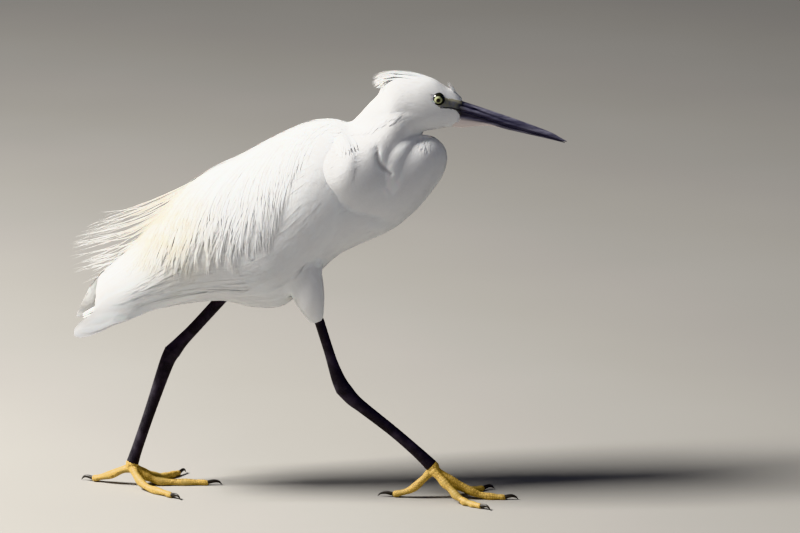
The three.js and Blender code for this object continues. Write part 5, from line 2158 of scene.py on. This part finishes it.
@dataclass
class Face:
    """One side of the face: the eye, its dark lid, the bare lores and a dark line of painted shade along the
    mouth.
    """

    side: Side
    ground: Ground
    lores: Material
    black: Material
    lid_radius: float = 4.0
    lid_width: float = 0.85
    mouth: Pairs = (
        (155.6, 326.9), (160, 326.7), (165, 326.2), (169, 325.1), (172, 324.0), (176, 322.2))

    def turned(self, name: str, add: Callable[..., object], rule: Rule, **sizes: float) -> Piece:
        """Makes a piece from a primitive whose axis is turned to the side.

        Args:
            name: The piece's name.
            add: The operator that adds the primitive.
            rule: Takes the vertices and gives their places in the bird's space, in mm.
            sizes: The operator's settings.

        Returns:
            The piece.
        """
        obj = primitive(name, add, rotation=(math.pi / 2, 0, 0), **sizes)
        bpy.ops.object.transform_apply(rotation=True)
        shape(obj, rule)
        smooth(obj)
        return obj

    def eye(self) -> Piece:
        """The eyeball with its cornea swelling outwards.

        Returns:
            The piece.
        """
        def rule(co: Array) -> Array:
            """Sizes the ball and swells its cornea."""
            outward = -self.side.value
            front = np.clip((co[:, 1] * outward - 0.82) / 0.18, 0, 1)
            ball = co * EYE_RADIUS
            ball[:, 1] += outward * 0.45 * front
            return ball + EYE * (1, outward, 1)

        return self.turned(f"eye_{self.side.label}_ball", bpy.ops.mesh.primitive_uv_sphere_add, rule,
                           segments=48, ring_count=32, radius=1)

    def lid(self) -> Piece:
        """The dark ring of the lids.

        Returns:
            The piece.
        """
        def rule(co: Array) -> Array:
            """Seats the ring on the ball and draws its corners out a little."""
            x, y, z = co.T
            outward = -self.side.value
            front = 1 + 0.1 * np.clip(x / self.lid_radius, 0, 1) ** 3
            sit = EYE[1] + 3.2 - 0.1 * (z / self.lid_radius)
            return np.stack([GAZE[0] + x * front, outward * sit + y * 0.9, GAZE[2] + z * 0.95], axis=-1)

        return self.turned(f"eyelid_{self.side.label}", bpy.ops.mesh.primitive_torus_add, rule,
                           major_segments=56, minor_segments=12, major_radius=self.lid_radius,
                           minor_radius=self.lid_width)

    def lore(self) -> Piece:
        """The bare skin between eye and bill, as a thin sheet whose edges sink under the coat.

        Returns:
            The piece, with its rim and its dark part marked.
        """
        marks: dict[str, Array] = {}

        def rule(along: Array, across: Array, outer: Array) -> Array:
            """Lays the sheet over the face."""
            x = mix(153.6, 177.5, along)
            top, foot = profile(LORE_TOP, x) + 0.7, profile(LORE_FOOT, x) - 0.7
            z = mix(foot, top, across)
            spots, normals = self.ground.face(x, z, self.side)
            rim = np.minimum(along, 1 - along) * 26
            rim = np.minimum(rim, np.minimum(across, 1 - across) * (top - foot))
            lift = mix(-0.5, 0.42, np.clip(rim / 1.1, 0, 1) ** 0.5) - 0.7 * (1 - outer)
            marks["rim"] = np.clip((z - top + 3.0) / 1.2, 0, 1) * np.interp(x, (158, 172), (1, 0.55))
            marks["dark"] = np.clip((x - 166) / 8, 0, 1) * np.clip((top - 2.4 - z) / 1.5, 0, 1)
            return spots + normals * lift[:, None]

        obj = slab(f"lores_{self.side.label}", 44, rule)
        mark(obj.data, **marks)
        smooth(obj)
        return obj

    def gape(self) -> Piece:
        """A dark line of painted shade along the mouth's seam, from the bill to below the eye.

        Returns:
            The piece.
        """
        spots, normals = self.ground.face(*np.array(self.mouth).T, self.side)
        stops = tuple((*(spot + normal * 0.3), 0.34, 0.4) for spot, normal in zip(spots, normals))
        obj = sleeve(f"gape_{self.side.label}", 10, 24, Limb(stops, LEFTWARD))
        smooth(obj)
        return obj

    def build(self) -> None:
        """Builds and dresses the side."""
        name = f"eye_{self.side.label}"
        mount(self.eye(), EyeFinish(f"{name}_wet", self.side).build(), Slot.EYE, name)
        mount(self.lid(), self.black, Slot.LEG)
        mount(self.lore(), self.lores, Slot.LEG)
        # The mouth's seam gets a dark line of painted shade
        mount(self.gape(), self.black, Slot.BILL)


@dataclass(frozen=True)
class Lamp:
    """A soft light, placed in metres, that points at the bird."""

    name: str
    energy: float
    size: float
    place: Triple
    colour: Triple
    target: Triple = (0, 0, 0.2)

    def hang(self) -> None:
        """Puts the light into the scene."""
        lamp = bpy.data.lights.new(self.name, "AREA")
        lamp.energy, lamp.size, lamp.color = self.energy, self.size, self.colour
        obj = bpy.data.objects.new(self.name, lamp)
        obj.location = self.place
        obj.rotation_euler = (Vector(self.target) - Vector(self.place)).to_track_quat("-Z", "Y").to_euler()
        bpy.context.scene.collection.objects.link(obj)


@dataclass
class Studio:
    """A pale floor, soft lights and a camera at the photograph's angle."""

    target: Triple = (123.0, 0.0, 191.85)
    elevation: float = 13.5
    distance: float = 5.0
    view_width: float = 656.0
    ground: tuple[Triple, Triple] = ((0.33, 0.32, 0.3), (0.37, 0.36, 0.34))
    air: Triple = (0.78, 0.82, 0.97)
    air_strength: float = 0.13
    lamps: tuple[Lamp, ...] = (
        Lamp("sun_window", 175, 0.7, (-1.8, -0.32, 1.9), (1.0, 0.965, 0.91)),
        Lamp("sky_window", 3.2, 2.4, (0.4, -2.4, 1.3), (0.72, 0.78, 1.0)),
        Lamp("front_card", 2.0, 0.8, (1.6, -1.2, 0.35), (0.85, 0.86, 1.0)))

    def floor(self) -> None:
        """Lays the pale floor."""
        floor = primitive("floor", bpy.ops.mesh.primitive_plane_add, size=12)
        paint = Paint("pale_floor", Roughness=0.85)
        paint.colour(paint.blend(paint.noise(3, 2), *self.ground))
        floor.data.materials.append(paint.material)

    def build(self) -> None:
        """Sets up floor, lights, air and camera."""
        self.floor()
        for lamp in self.lamps:
            lamp.hang()
        world = bpy.data.worlds.new("studio_air")
        world.use_nodes = True
        sky = world.node_tree.nodes["Background"].inputs
        sky["Color"].default_value = (*self.air, 1)
        sky["Strength"].default_value = self.air_strength
        scene = bpy.context.scene
        scene.world = world
        camera = bpy.data.objects.new("camera", bpy.data.cameras.new("camera"))
        scene.collection.objects.link(camera)
        tilt = math.radians(self.elevation)
        away = Vector((0, -math.cos(tilt), math.sin(tilt)))
        camera.location = Vector((np.array(self.target) + SHIFT) * MM) + away * self.distance
        camera.rotation_euler = (-away).to_track_quat("-Z", "Y").to_euler()
        camera.data.lens = camera.data.sensor_width * self.distance / (self.view_width * MM)
        camera.data.clip_end = 50
        scene.camera = camera
        scene.view_settings.view_transform = "Khronos PBR Neutral"


def main() -> None:
    """Builds the egret's pieces in order."""
    logging.basicConfig(level=logging.INFO, format="%(message)s")
    plumage = PlumageFinish().build()
    vanes = VaneFinish().build()
    bill = HornFinish("bill_horn", (0.085, 0.083, 0.118), (0.2, 0.196, 0.255), (0.74, 0.66, 0.64)).build()
    claw = HornFinish("claw_horn", (0.012, 0.011, 0.01), (0.04, 0.036, 0.032), roughness=0.4).build()
    scales = (0.02, 0.018, 0.025), (0.007, 0.006, 0.009), (0.042, 0.037, 0.05)
    black = ScaleFinish("leg_scales", *scales).build()
    lores = BareSkinFinish().build()
    lid = PlainFinish("lid_skin", (0.02, 0.021, 0.024), 0.35).build()
    yellow = ScaleFinish("toe_scales", (0.66, 0.45, 0.13), (0.26, 0.16, 0.05), (0.42, 0.3, 0.1)).build()

    skin = Skin().build(plumage)
    ground = Ground(skin)
    Coat(ground, plumage).build()
    Crest(plumage).build()
    Mantle(vanes).build()
    for side in Side:
        Wing(side, vanes).build()
    Tail(vanes).build()
    Aigrettes(plumage).build()
    for side in Side:
        Face(side, ground, lores, lid).build()
    Bill().build(bill)
    for leg in (RIGHT_LEG, LEFT_LEG):
        leg.build(black, yellow, claw)
    Studio().build()


if __name__ == "__main__":
    main()
